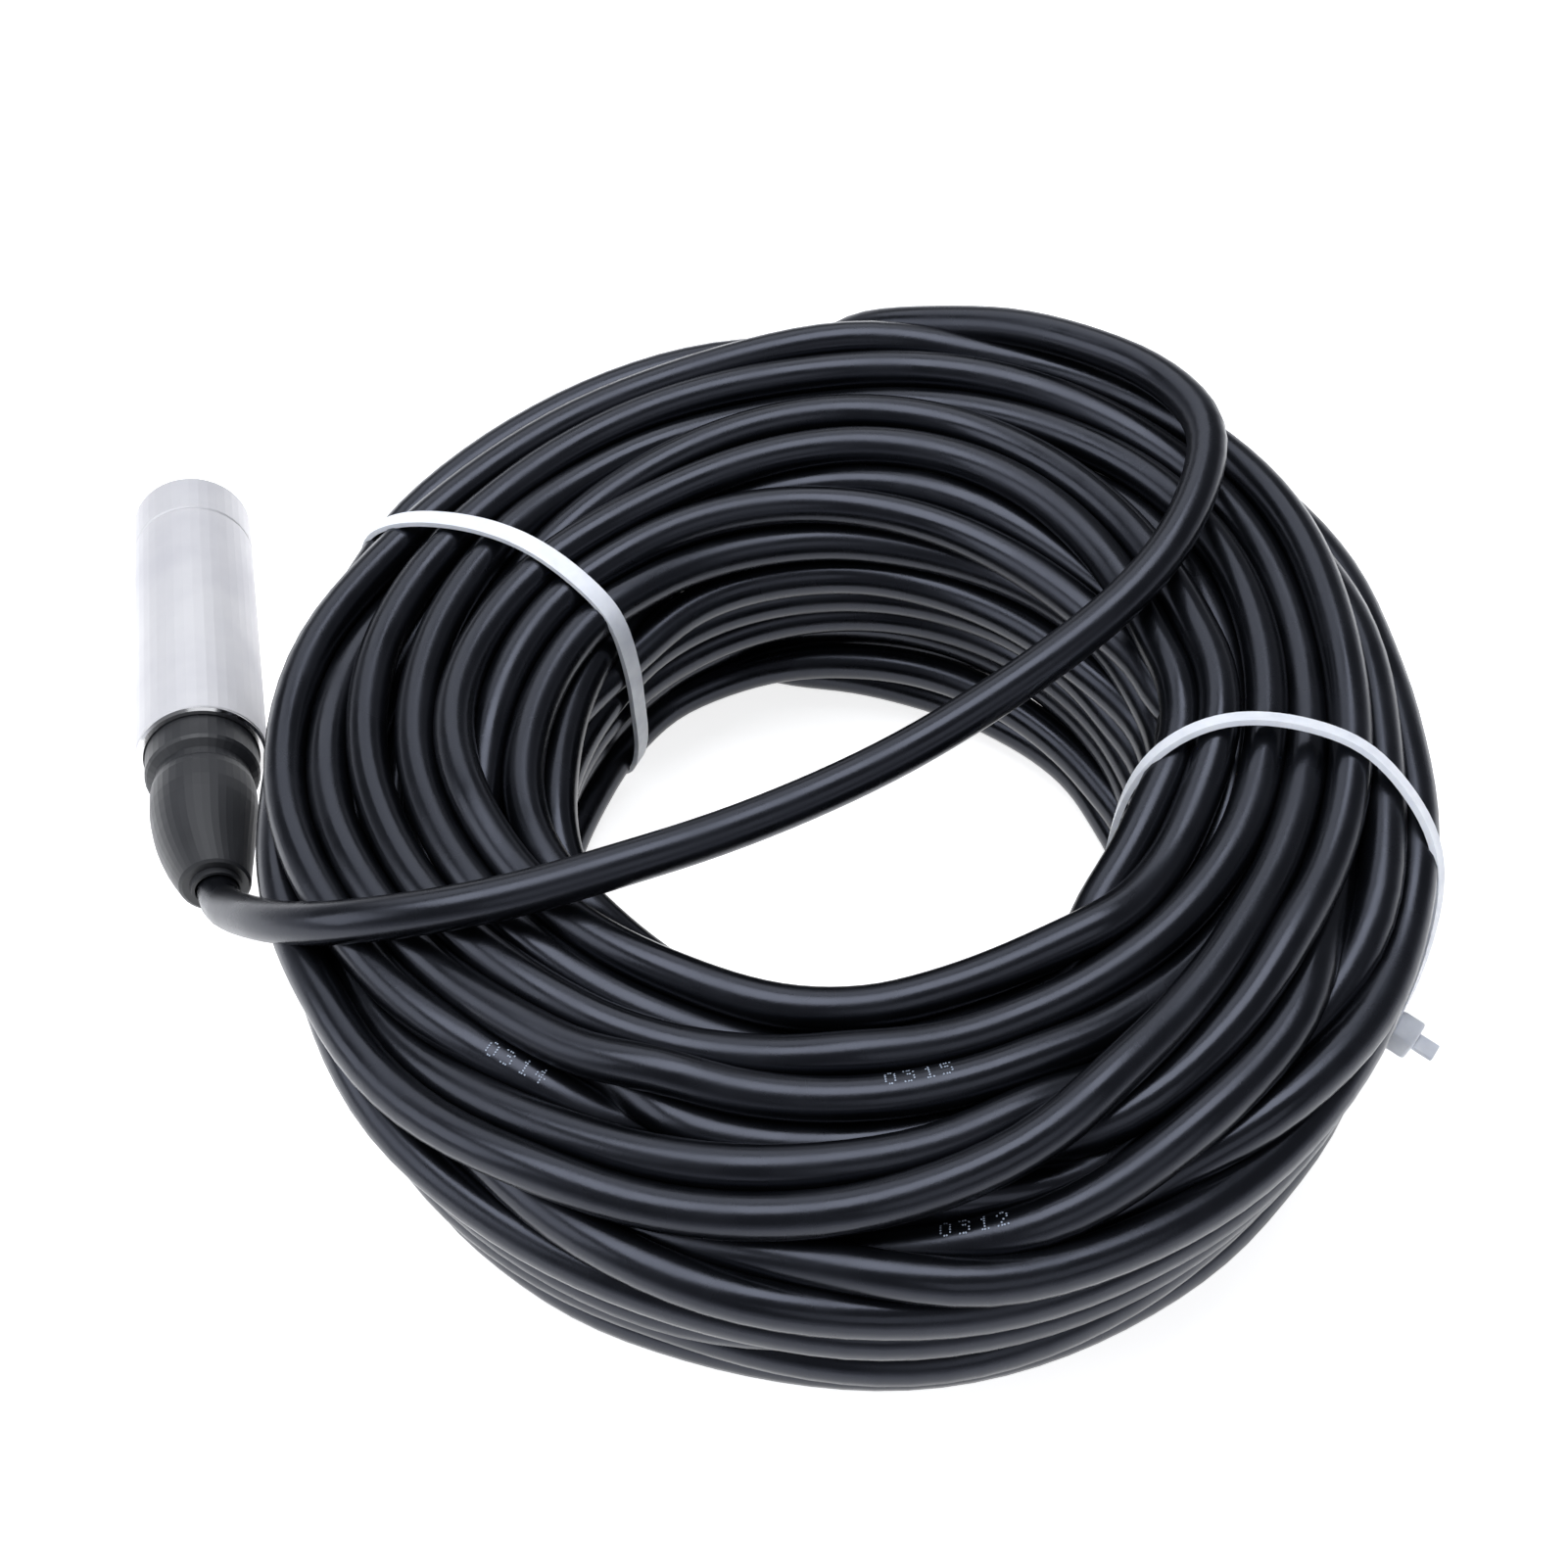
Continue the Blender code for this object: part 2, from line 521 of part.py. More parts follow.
def build_diaphragm(axis, back):
    """Thin sheet with a flat middle and ring shaped ripples, clear of its recess on every side."""
    pitch = (DIAPHRAGM_RADIUS - DIAPHRAGM_FLAT_RADIUS) / (2 * DIAPHRAGM_RIPPLES + 1)
    shape = [(DIAPHRAGM_FLAT_RADIUS, 0.0)]
    for index in range(2 * DIAPHRAGM_RIPPLES):
        height = DIAPHRAGM_RIPPLE if index % 2 == 0 else -DIAPHRAGM_RIPPLE
        shape.append((DIAPHRAGM_FLAT_RADIUS + pitch * (index + 0.75), height))
    shape.append((DIAPHRAGM_RADIUS, 0.0))
    front = [(0.0, DIAPHRAGM_SHEET)] + [(radius, height + DIAPHRAGM_SHEET) for radius, height in shape]
    profile = front + shape[::-1] + [(0.0, 0.0)]
    turned("diaphragm", [(radius, back + z) for radius, z in profile], TURNED_STEEL, axis, back,
           INNER_SEGMENTS, closed=False)


def build_clamp_ring(axis):
    """Threaded ring that presses the cell on its shoulder, with two slots for a spanner."""
    back = FRONT_BORE_FLOOR + CLEARANCE
    front = back + CLAMP_LENGTH
    outer = FRONT_BORE_RADIUS - CLEARANCE
    land = CELL_FRONT + CLEARANCE
    land_inner = CELL_RECESS_RADIUS + EDGE_BREAK / 3
    land_outer = CELL_RADIUS - EDGE_BREAK
    ring = turned("cell_clamp_ring", [
        (CLAMP_BORE_RADIUS, back), (land_inner, back), (land_inner, land),
        (land_outer, land), (land_outer, back), (outer, back), (outer, front),
        (CLAMP_BORE_RADIUS, front)], NICKEL, axis, back, INNER_SEGMENTS)
    slot = block("clamp_slot_cutter", (3 * outer, CLAMP_SLOT_WIDTH, 2 * CLAMP_SLOT_DEPTH), NICKEL, axis,
                 (0.0, 0.0, front))
    cut(ring, slot)


def build_electronics(axis):
    """Board on edge in two slotted carrier rings, with its components on one face."""
    block("circuit_board", (BOARD_WIDTH, BOARD_THICKNESS, BOARD_LENGTH), BOARD_GREEN, axis,
          (0.0, 0.0, (BOARD_FRONT + BOARD_BACK) / 2))
    outer = INNER_FIT_RADIUS
    front_ring = MAIN_BORE_END - CLEARANCE - BOARD_RING_LENGTH
    stations = {"board_ring_front": front_ring, "board_ring_rear": BOARD_BACK + BOARD_RING_INSET}
    for name, back in stations.items():
        ring = turned(name, [(BOARD_RING_INNER, back), (outer, back), (outer, back + BOARD_RING_LENGTH),
                             (BOARD_RING_INNER, back + BOARD_RING_LENGTH)], WHITE_NYLON, axis, back,
                      INNER_SEGMENTS)
        slot = (BOARD_WIDTH + 2 * CLEARANCE, BOARD_THICKNESS + 2 * CLEARANCE, 4 * BOARD_RING_LENGTH)
        cut(ring, block(name + "_slot", slot, WHITE_NYLON, axis, (0.0, 0.0, back)))
    face = -BOARD_THICKNESS / 2 - CLEARANCE
    front_row = BOARD_FRONT - PIN_OVERLAP - ROW_GAP - CHIP_SIZE[2] / 2
    rear_row = front_row - CHIP_SIZE[2] / 2 - ROW_GAP - TRANSISTOR_SIZE[2] / 2
    block("amplifier_chip", CHIP_SIZE, CHIP_BLACK, axis, (0.0, face - CHIP_SIZE[1] / 2, front_row))
    block("output_transistor", TRANSISTOR_SIZE, CHIP_BLACK, axis,
          (TRANSISTOR_OFFSET, face - TRANSISTOR_SIZE[1] / 2, rear_row))
    for index, side in enumerate((-1, 1)):
        block("surge_suppressor_%d" % (index + 1), SUPPRESSOR_SIZE, CHIP_BLACK, axis,
              (side * SUPPRESSOR_OFFSET, face - SUPPRESSOR_SIZE[1] / 2, front_row))
    bm = bmesh.new()
    bmesh.ops.create_cone(bm, cap_ends=True, segments=16, radius1=CAPACITOR_RADIUS, radius2=CAPACITOR_RADIUS,
                          depth=CAPACITOR_HEIGHT, matrix=Matrix.Rotation(math.pi / 2, 4, "X"))
    add_object("capacitor", close_mesh("capacitor", bm), TANTALUM, axis,
               (CAPACITOR_OFFSET, face - CAPACITOR_HEIGHT / 2, rear_row))
    level = BOARD_THICKNESS / 2 + CLEARANCE + CONDUCTOR_RADIUS
    for name, look, side in (("conductor_red", RED_INSULATION, 1), ("conductor_black", CHIP_BLACK, -1)):
        rod(name, CONDUCTOR_RADIUS, CABLE_END + CLEARANCE, BOARD_BACK + CONDUCTOR_OVERLAP, look, axis,
            (side * CONDUCTOR_SPACING / 2, level), segments=8)


def build_gland(axis):
    """Gland body in its seat, with the grommet, the washer and the nut that squeeze the cable."""
    outer = INNER_FIT_RADIUS
    groove_back = GLAND_FRONT_OF_FLANGE + GLAND_GROOVE_SETBACK
    groove_front = groove_back + GLAND_GROOVE_WIDTH
    chamber = GROMMET_RADIUS + CLEARANCE
    thread = GLAND_THREAD_RADIUS
    floor = GROMMET_FRONT + CLEARANCE
    turned("gland_body", [
        (thread, GLAND_BACK), (GLAND_SEAT_RADIUS - CLEARANCE, GLAND_BACK),
        (GLAND_SEAT_RADIUS - CLEARANCE, GLAND_FRONT_OF_FLANGE), (outer, GLAND_FRONT_OF_FLANGE),
        (outer, groove_back), (GLAND_GROOVE_RADIUS, groove_back), (GLAND_GROOVE_RADIUS, groove_front),
        (outer, groove_front), (outer, GLAND_FRONT - EDGE_BREAK), (outer - EDGE_BREAK, GLAND_FRONT),
        (CABLE_HOLE_RADIUS, GLAND_FRONT), (CABLE_HOLE_RADIUS, floor), (chamber, floor),
        (chamber, CHAMBER_BACK), (thread, CHAMBER_BACK)], NICKEL, axis, GLAND_BACK, INNER_SEGMENTS)
    seal_ring("gland_seal_ring", GLAND_GROOVE_RADIUS, MAIN_BORE_RADIUS, groove_back, GLAND_GROOVE_WIDTH, axis)
    turned("cable_grommet", [(CABLE_HOLE_RADIUS, GROMMET_BACK), (GROMMET_RADIUS, GROMMET_BACK),
                             (GROMMET_RADIUS, GROMMET_FRONT), (CABLE_HOLE_RADIUS, GROMMET_FRONT)],
           SEAL_RUBBER, axis, GROMMET_BACK, INNER_SEGMENTS)
    turned("grommet_washer", [(CABLE_HOLE_RADIUS, CHAMBER_BACK), (GROMMET_RADIUS, CHAMBER_BACK),
                              (GROMMET_RADIUS, WASHER_FRONT), (CABLE_HOLE_RADIUS, WASHER_FRONT)],
           TURNED_STEEL, axis, CHAMBER_BACK, INNER_SEGMENTS)
    turned("gland_nut", [(CABLE_HOLE_RADIUS, NUT_BACK), (NUT_FLANGE_RADIUS, NUT_BACK),
                         (NUT_FLANGE_RADIUS, NUT_BACK + NUT_FLANGE), (NUT_THREAD_RADIUS, NUT_BACK + NUT_FLANGE),
                         (NUT_THREAD_RADIUS, NUT_FRONT), (CABLE_HOLE_RADIUS, NUT_FRONT)],
           NICKEL, axis, NUT_BACK, INNER_SEGMENTS)


def build_boot(axis):
    """Moulded boot over the nut, bent a little by the cable, and the cable inside it."""
    pocket = NUT_FLANGE_RADIUS + CLEARANCE
    pocket_end = NUT_BACK - CLEARANCE
    inner = [(CABLE_HOLE_RADIUS, -BOOT_LENGTH)]
    inner += [(CABLE_HOLE_RADIUS, -BOOT_BEND_START - step * 0.0045) for step in (3, 2, 1, 0)]
    inner += [(CABLE_HOLE_RADIUS, pocket_end), (pocket, pocket_end), (pocket, GLAND_BACK - CLEARANCE)]
    boot = turned("strain_relief_boot", boot_outer_profile() + inner, BLACK_RUBBER, axis, sharp=40)
    for point in boot.data.vertices:
        shift = boot_shift(-point.co.z)
        point.co.x += shift.x
        point.co.y -= shift.y
    line = boot_centre_line()
    tube("cable_in_gland", line, CABLE_RADIUS, BLACK_JACKET, axis, resolution=3)
    return axis.matrix_world @ line[-1], axis.matrix_world @ line[-2]


def coil_height(azimuth, radius):
    """Height of the coil's top, which leans up towards its high side."""
    return COIL_HEIGHT * (1 + COIL_TILT * math.cos(azimuth - COIL_HIGH_SIDE) * radius
                          / ((COIL_INNER_RADIUS + COIL_OUTER_RADIUS) / 2))


def coil_section(azimuth, grow=0.0, steps=3):
    """Rounded section of the coil at an azimuth as (radius, z) points, grown outward by a distance."""
    inner, outer = COIL_INNER_RADIUS - grow, COIL_OUTER_RADIUS + grow
    top, base = COIL_TOP_CORNER + grow, COIL_BASE_CORNER + grow
    corners = (arc((outer - base, base - grow), base, -90, 0, steps)
               + arc((outer - top, COIL_HEIGHT - top + grow), top, 0, 90, steps)
               + arc((inner + top, COIL_HEIGHT - top + grow), top, 90, 180, steps)
               + arc((inner + base, base - grow), base, 180, 270, steps))
    return [(radius, z * coil_height(azimuth, radius) / COIL_HEIGHT) for radius, z in corners]


def band(azimuth, outer_grow, inner_grow, width):
    """Closed band round the coil's section in a radial plane."""
    outside = coil_section(azimuth, outer_grow)
    inside = coil_section(azimuth, inner_grow)
    along = Vector((math.cos(azimuth), math.sin(azimuth), 0.0))
    across = Vector((-math.sin(azimuth), math.cos(azimuth), 0.0)) * width / 2
    bm = bmesh.new()
    loops = []
    for outline, side in ((outside, 1), (outside, -1), (inside, -1), (inside, 1)):
        loops.append([bm.verts.new(COIL_CENTRE + along * r + across * side + Vector((0, 0, z)))
                      for r, z in outline])
    count = len(outside)
    for lane, loop in enumerate(loops):
        other = loops[(lane + 1) % 4]
        for i in range(count):
            j = (i + 1) % count
            bm.faces.new((loop[i], loop[j], other[j], other[i]))
    return bm


def build_coil():
    """Outer shape of the coiled cable with a pinch under each tie, and the two ties."""
    bm = bmesh.new()
    rings = []
    for step in range(COIL_SEGMENTS):
        azimuth = math.tau * step / COIL_SEGMENTS
        rings.append([bm.verts.new((radius * math.cos(azimuth), radius * math.sin(azimuth), z))
                      for radius, z in coil_section(azimuth)])
    for ring, following in zip(rings, rings[1:] + rings[:1]):
        for i in range(len(ring)):
            j = (i + 1) % len(ring)
            bm.faces.new((ring[i], ring[j], following[j], following[i]))
    coil = add_object("cable_coil", close_mesh("cable_coil", bm), BLACK_JACKET, None, COIL_CENTRE, sharp=60)
    for name, azimuth in TIE_AZIMUTHS.items():
        pinch = band(azimuth, 0.0015, -STRAP_THICKNESS - CLEARANCE, STRAP_WIDTH + 2 * CLEARANCE)
        cut(coil, add_object(name + "_pinch", close_mesh(name + "_pinch", pinch), BLACK_JACKET))
        build_tie(name, azimuth)


def build_tie(name, azimuth):
    """Nylon tie flush with the coil, with its head and cut end outside."""
    bm = band(azimuth, 0.0, -STRAP_THICKNESS, STRAP_WIDTH)
    tie = add_object(name, close_mesh(name, bm), WHITE_NYLON)
    start = COIL_OUTER_RADIUS + CLEARANCE
    end = start + TIE_HEAD_DEPTH
    neck = (COIL_OUTER_RADIUS - STRAP_THICKNESS / 2, start + TIE_HEAD_DEPTH / 2)
    pieces = (("head", start, end, TIE_HEAD_WIDTH, TIE_HEAD_HEIGHT),
              ("neck", neck[0], neck[1], STRAP_WIDTH * 0.97, TIE_HEAD_HEIGHT * 0.8),
              ("cut_end", start + TIE_HEAD_DEPTH / 3, end + 0.0020, STRAP_WIDTH * 0.9, STRAP_THICKNESS))
    turn = Matrix.Rotation(azimuth, 4, "Z")
    for label, near, far, width, height in pieces:
        bm = bmesh.new()
        bmesh.ops.create_cube(bm, size=1.0, matrix=Matrix.Diagonal((far - near, width, height, 1.0)))
        bm.transform(Matrix.Translation(COIL_CENTRE) @ turn
                     @ Matrix.Translation(((near + far) / 2, 0.0, TIE_HEAD_LEVEL)))
        tool = add_object(name + "_" + label, close_mesh(name + "_" + label, bm), WHITE_NYLON)
        tool.hide_render = True
        tool.display_type = "WIRE"
        step = tie.modifiers.new("join_" + label, "BOOLEAN")
        step.operation = "UNION"
        step.solver = "EXACT"
        step.object = tool


def build_cable(mouth, before_mouth):
    """Free cable from the boot to the back of the coil, and the bare tail behind the coil."""
    heading = (mouth - before_mouth).normalized()
    start = mouth + heading * CLEARANCE
    route = [start + heading * CABLE_RADIUS] + [Vector(point) for point in LEAD_ROUTE]
    points = [start] + smooth_curve(route, CABLE_POINT_SPACING)
    tube("cable_lead", points, CABLE_RADIUS, BLACK_JACKET, resolution=3)
    tail = []
    for azimuth, offset, z in TAIL_ROUTE:
        angle = math.radians(azimuth)
        radius = COIL_OUTER_RADIUS + CABLE_RADIUS + offset
        tail.append(COIL_CENTRE + Vector((radius * math.cos(angle), radius * math.sin(angle), z)))
    tail = smooth_curve(tail, CABLE_POINT_SPACING)
    tube("cable_tail", tail, CABLE_RADIUS, BLACK_JACKET, resolution=3)
    along = (tail[-1] - tail[-2]).normalized()
    across = along.cross(Vector((0, 0, 1))).normalized()
    ends = (("core_red", RED_INSULATION, CORE_RADIUS, 1), ("vent_capillary", CLEAR_CAPILLARY, CAPILLARY_RADIUS, 0),
            ("core_black", CHIP_BLACK, CORE_RADIUS, -1))
    spread = CORE_RADIUS + CAPILLARY_RADIUS + CLEARANCE
    for name, look, radius, side in ends:
        begin = tail[-1] + along * CLEARANCE + across * side * spread
        bow = Vector((0, 0, -0.0002)) + across * side * 0.002
        points = [begin + along * CORE_LENGTH * share + bow * share ** 2 for share in (0, 0.34, 0.67, 1)]
        tube(name, points, radius, look)


def main():
    """Build the whole sensor."""
    for item in list(bpy.data.objects):
        bpy.data.objects.remove(item, do_unlink=True)
    axis = probe_frame()
    build_housing(axis)
    build_nose_cap(axis)
    seal_ring("cap_seal_ring", CAP_SEAL_GROOVE_RADIUS, FRONT_BORE_RADIUS,
              CAP_GROOVE_FRONT - CAP_SEAL_GROOVE_WIDTH, CAP_SEAL_GROOVE_WIDTH, axis)
    build_pressure_cell(axis)
    build_electronics(axis)
    build_gland(axis)
    mouth, before_mouth = build_boot(axis)
    build_coil()
    build_cable(mouth, before_mouth)


main()
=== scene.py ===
"""Submersible liquid level sensor on its coiled cable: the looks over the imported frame."""

import logging
import math
from dataclasses import dataclass, field
from enum import Enum

import bmesh
import bpy
import numpy as np
from mathutils import Matrix, Vector


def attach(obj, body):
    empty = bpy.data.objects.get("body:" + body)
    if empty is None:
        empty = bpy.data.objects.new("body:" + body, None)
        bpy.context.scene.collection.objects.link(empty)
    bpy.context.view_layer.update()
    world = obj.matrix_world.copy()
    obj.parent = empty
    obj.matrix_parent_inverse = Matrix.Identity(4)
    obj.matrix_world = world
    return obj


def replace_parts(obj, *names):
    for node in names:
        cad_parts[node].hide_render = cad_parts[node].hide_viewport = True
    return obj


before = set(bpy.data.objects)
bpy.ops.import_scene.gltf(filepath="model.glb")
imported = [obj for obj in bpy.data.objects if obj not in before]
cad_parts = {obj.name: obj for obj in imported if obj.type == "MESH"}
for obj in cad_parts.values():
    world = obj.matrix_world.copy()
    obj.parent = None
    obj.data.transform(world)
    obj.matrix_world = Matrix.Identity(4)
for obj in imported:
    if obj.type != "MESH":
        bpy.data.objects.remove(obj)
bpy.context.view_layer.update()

log = logging.getLogger("level_sensor")

MM = 0.001
WELD = 1e-6
PROBE_BODY = "probe_body"

# The probe's axis, as the frame holds it: the rear rim's centre and the way to the nose.
REAR_RIM = Vector((0.0, -0.023425, 0.0267539))
TO_NOSE = Vector((0.0, 0.9884939, -0.1512608))


# ---------------- helpers

def linear(hex_colour: str) -> tuple[float, float, float, float]:
    """Turn an sRGB hex colour to the linear values that shaders take.

    Args:
        hex_colour: Six hex digits.

    Returns:
        Linear red, green, blue and an alpha of 1.
    """
    channels = [int(hex_colour[i:i + 2], 16) / 255 for i in (0, 2, 4)]
    return (*[c / 12.92 if c <= 0.04045 else ((c + 0.055) / 1.055) ** 2.4 for c in channels], 1.0)


def add_node(tree: bpy.types.NodeTree, kind: str, settings: dict | None = None,
             values: dict | None = None, links: dict | None = None) -> bpy.types.Node:
    """Add one node with its settings, its socket values and its incoming links.

    Args:
        tree: The tree that takes the node.
        kind: The node's type name.
        settings: Attributes of the node.
        values: Socket values by name or number.
        links: Source sockets, as (node, socket), by input name or number.

    Returns:
        The new node.
    """
    node = tree.nodes.new(kind)
    for name, value in (settings or {}).items():
        setattr(node, name, value)
    for name, value in (values or {}).items():
        node.inputs[name].default_value = value
    for name, (source, socket) in (links or {}).items():
        tree.links.new(source.outputs[socket], node.inputs[name])
    return node


def finish_mesh(name: str, bm: bmesh.types.BMesh, material: bpy.types.Material,
                smooth: float = 35.0) -> bpy.types.Object:
    """Close a bmesh and link it as a shown piece at the origin.

    Args:
        name: The piece's name.
        bm: The modelled mesh, in metres in the frame; it is freed.
        material: Its finish.
        smooth: Largest angle in degrees that still shades smooth.

    Returns:
        The linked object.
    """
    bmesh.ops.remove_doubles(bm, verts=bm.verts, dist=WELD)
    bmesh.ops.recalc_face_normals(bm, faces=bm.faces)
    mesh = bpy.data.meshes.new(name)
    bm.to_mesh(mesh)
    bm.free()
    mesh.materials.append(material)
    mesh.shade_smooth()
    mesh.set_sharp_from_angle(angle=math.radians(smooth))
    piece = bpy.data.objects.new(name, mesh)
    bpy.context.scene.collection.objects.link(piece)
    return piece


def natural_spline(points: np.ndarray, spacing: float) -> np.ndarray:
    """Run a natural cubic spline through points and sample it evenly.

    Args:
        points: Rows of coordinates.
        spacing: Distance between samples.

    Returns:
        The sampled rows, first and last point included.
    """
    knots = np.concatenate([[0.0], np.cumsum(np.linalg.norm(np.diff(points, axis=0), axis=1) ** 0.5)])
    gaps, count = np.diff(knots), len(points)
    system, right = np.eye(count), np.zeros_like(points)
    for i in range(1, count - 1):
        system[i, i - 1:i + 2] = gaps[i - 1], 2 * (gaps[i - 1] + gaps[i]), gaps[i]
        right[i] = 6 * ((points[i + 1] - points[i]) / gaps[i] - (points[i] - points[i - 1]) / gaps[i - 1])
    bend = np.linalg.solve(system, right)
    fine = np.linspace(0, knots[-1], 40 * count)
    span = np.clip(np.searchsorted(knots, fine, side="right") - 1, 0, count - 2)
    before, after, gap = (fine - knots[span])[:, None], (knots[span + 1] - fine)[:, None], gaps[span][:, None]
    curve = ((bend[span] * after ** 3 + bend[span + 1] * before ** 3) / (6 * gap)
             + (points[span] / gap - bend[span] * gap / 6) * after
             + (points[span + 1] / gap - bend[span + 1] * gap / 6) * before)
    return even_samples(curve, spacing)


def even_samples(line: np.ndarray, spacing: float) -> np.ndarray:
    """Sample a polyline at even steps of about the spacing."""
    along = np.concatenate([[0.0], np.cumsum(np.linalg.norm(np.diff(line, axis=0), axis=1))])
    steps = np.linspace(0, along[-1], max(2, round(along[-1] / spacing) + 1))
    return np.stack([np.interp(steps, along, line[:, i]) for i in range(line.shape[1])], axis=1)


# ---------------- finishes

TOOL_MARK_SQUEEZE = (0.02, 1.0, 0.02)


class Grain(Enum):
    """How a surface's fine grain is laid."""

    SPECKLED = "speckled"
    TURNED = "turned"


@dataclass(frozen=True)
class Finish:
    """A solid-coloured industrial finish with a fine grain, a soft mottle and a bump from real sizes."""

    name: str
    colour: str
    mottle_colour: str
    roughness: float
    roughness_spread: float = 0.06
    metallic: float = 0.0
    ior: float = 1.5
    grain: Grain = Grain.SPECKLED
    grain_mm: float = 0.3
    grain_height_mm: float = 0.01
    mottle_mm: float = 12.0
    subsurface: float = 0.0
    highlight: str = "FFFFFF"

    def build(self) -> bpy.types.Material:
        """Make the node material of this finish.

        Returns:
            The material, made once by name.
        """
        made = bpy.data.materials.get(self.name)
        if made:
            return made
        made = bpy.data.materials.new(self.name)
        made.use_nodes = True
        tree = made.node_tree
        shader = tree.nodes["Principled BSDF"]
        shader.inputs["Metallic"].default_value = self.metallic
        if not self.metallic:
            shader.inputs["IOR"].default_value = self.ior
            shader.inputs["Specular Tint"].default_value = linear(self.highlight)
        if self.subsurface:
            shader.inputs["Subsurface Weight"].default_value = self.subsurface
            shader.inputs["Subsurface Radius"].default_value = (1.0, 0.95, 0.85)
            shader.inputs["Subsurface Scale"].default_value = 0.6 * MM
        place = add_node(tree, "ShaderNodeTexCoord")
        centred = add_node(tree, "ShaderNodeMapping", links={"Vector": (place, "Object")})
        if self.grain is Grain.TURNED:
            # tool marks run round the probe's axis, so the pattern is squeezed across it
            centred.inputs["Rotation"].default_value = (math.asin(-TO_NOSE.z), 0.0, 0.0)
            centred.inputs["Scale"].default_value = TOOL_MARK_SQUEEZE
        grain = add_node(tree, "ShaderNodeTexNoise", values={"Scale": 1 / (self.grain_mm * MM), "Detail": 2.0,
                                                            "Roughness": 0.6},
                         links={"Vector": (centred, "Vector")})
        mottle = add_node(tree, "ShaderNodeTexNoise", values={"Scale": 1 / (self.mottle_mm * MM), "Detail": 4.0},
                          links={"Vector": (place, "Object")})
        spread = add_node(tree, "ShaderNodeMapRange", values={"From Min": 0.35, "From Max": 0.7,
                                                             "To Min": 0.0, "To Max": 1.0},
                          links={"Value": (mottle, "Fac")})
        tint = add_node(tree, "ShaderNodeMix", {"data_type": "RGBA"},
                        {6: linear(self.colour), 7: linear(self.mottle_colour)}, {0: (spread, "Result")})
        gloss = add_node(tree, "ShaderNodeMapRange",
                         values={"From Min": 0.3, "From Max": 0.7,
                                 "To Min": self.roughness - self.roughness_spread,
                                 "To Max": self.roughness + self.roughness_spread},
                         links={"Value": (mottle, "Fac")})
        bump = add_node(tree, "ShaderNodeBump", values={"Strength": 1.0, "Distance": self.grain_height_mm * MM},
                        links={"Height": (grain, "Fac")})
        tree.links.new(tint.outputs[2], shader.inputs["Base Color"])
        tree.links.new(gloss.outputs["Result"], shader.inputs["Roughness"])
        tree.links.new(bump.outputs["Normal"], shader.inputs["Normal"])
        return made


# Stainless steel, bead blasted: an even pale satin with no streaks, and faint grey handling smudges.
BLASTED_STEEL = Finish("stainless_steel_bead_blasted", "DEDDDE", "D4D3D6", 0.7, roughness_spread=0.03,
                       metallic=1.0, grain_mm=0.35, grain_height_mm=0.012, mottle_mm=22.0)
# Stainless steel, fine turned: a brighter band whose tool marks run round the axis.
TURNED_STEEL = Finish("stainless_steel_turned", "E2E1E0", "D4D3D2", 0.16, metallic=1.0, grain=Grain.TURNED,
                      grain_mm=0.25, grain_height_mm=0.004)
# Nickel plate on brass: slightly warm and quite bright.
NICKEL_PLATE = Finish("nickel_plate", "C6C1B4", "B8B3A6", 0.24, metallic=1.0, grain_height_mm=0.002)
# Gold-coloured brass pins of the header.
BRASS = Finish("brass_drawn", "C9A65A", "B8944A", 0.28, metallic=1.0, grain_height_mm=0.002)
# Chloroprene rubber, moulded: a soft black satin with a very fine skin.
BOOT_RUBBER = Finish("chloroprene_rubber_moulded", "1B1C1F", "222326", 0.46, ior=1.52, grain_mm=0.4,
                     grain_height_mm=0.01)
# Nitrile seal rubber: duller and finer than the boot.
SEAL_RUBBER = Finish("nitrile_rubber_moulded", "101011", "17171A", 0.6, ior=1.52, grain_height_mm=0.006)
# Polyurethane cable jacket, extruded: black with a cool cast, glossy satin, faint handling marks.
CABLE_JACKET = Finish("polyurethane_jacket_extruded", "060709", "0A0B0E", 0.27, roughness_spread=0.07,
                      grain_mm=0.9, grain_height_mm=0.012, mottle_mm=14.0, highlight="E4EAFF")
# Nylon 6.6, moulded: milky white and a little translucent.
WHITE_NYLON = Finish("nylon_moulded", "EEF1F6", "E0E3EA", 0.34, ior=1.53, subsurface=0.4, grain_mm=0.5,
                     grain_height_mm=0.004, mottle_mm=4.0)
# Glass-epoxy board with a green mask: glossy, with the weave just felt.
BOARD_LAMINATE = Finish("glass_epoxy_laminate", "1E5B33", "174A2A", 0.32, ior=1.55, grain_mm=0.6,
                        grain_height_mm=0.01)
# Epoxy chip cases: matt and near black.
CHIP_EPOXY = Finish("epoxy_chip_case", "1A1A1A", "232323", 0.5, ior=1.55, grain_height_mm=0.008)
# Tantalum capacitor case: glossy yellow epoxy.
TANTALUM = Finish("tantalum_epoxy_dipped", "C79A2B", "B58A22", 0.3, ior=1.55, grain_height_mm=0.004)
# Red PVC insulation of a signal wire.
RED_INSULATION = Finish("red_pvc_extruded", "A81616", "931212", 0.36, ior=1.53, grain_height_mm=0.004)
# Black PVC insulation of a signal wire.
BLACK_INSULATION = Finish("black_pvc_extruded", "1B1B1D", "242427", 0.36, ior=1.53, grain_height_mm=0.004)
# Polyethylene vent tube: milky and translucent.
CLEAR_CAPILLARY = Finish("polyethylene_capillary", "E6E6E0", "D8D8D2", 0.3, ior=1.51, subsurface=0.5,
                         grain_height_mm=0.003)
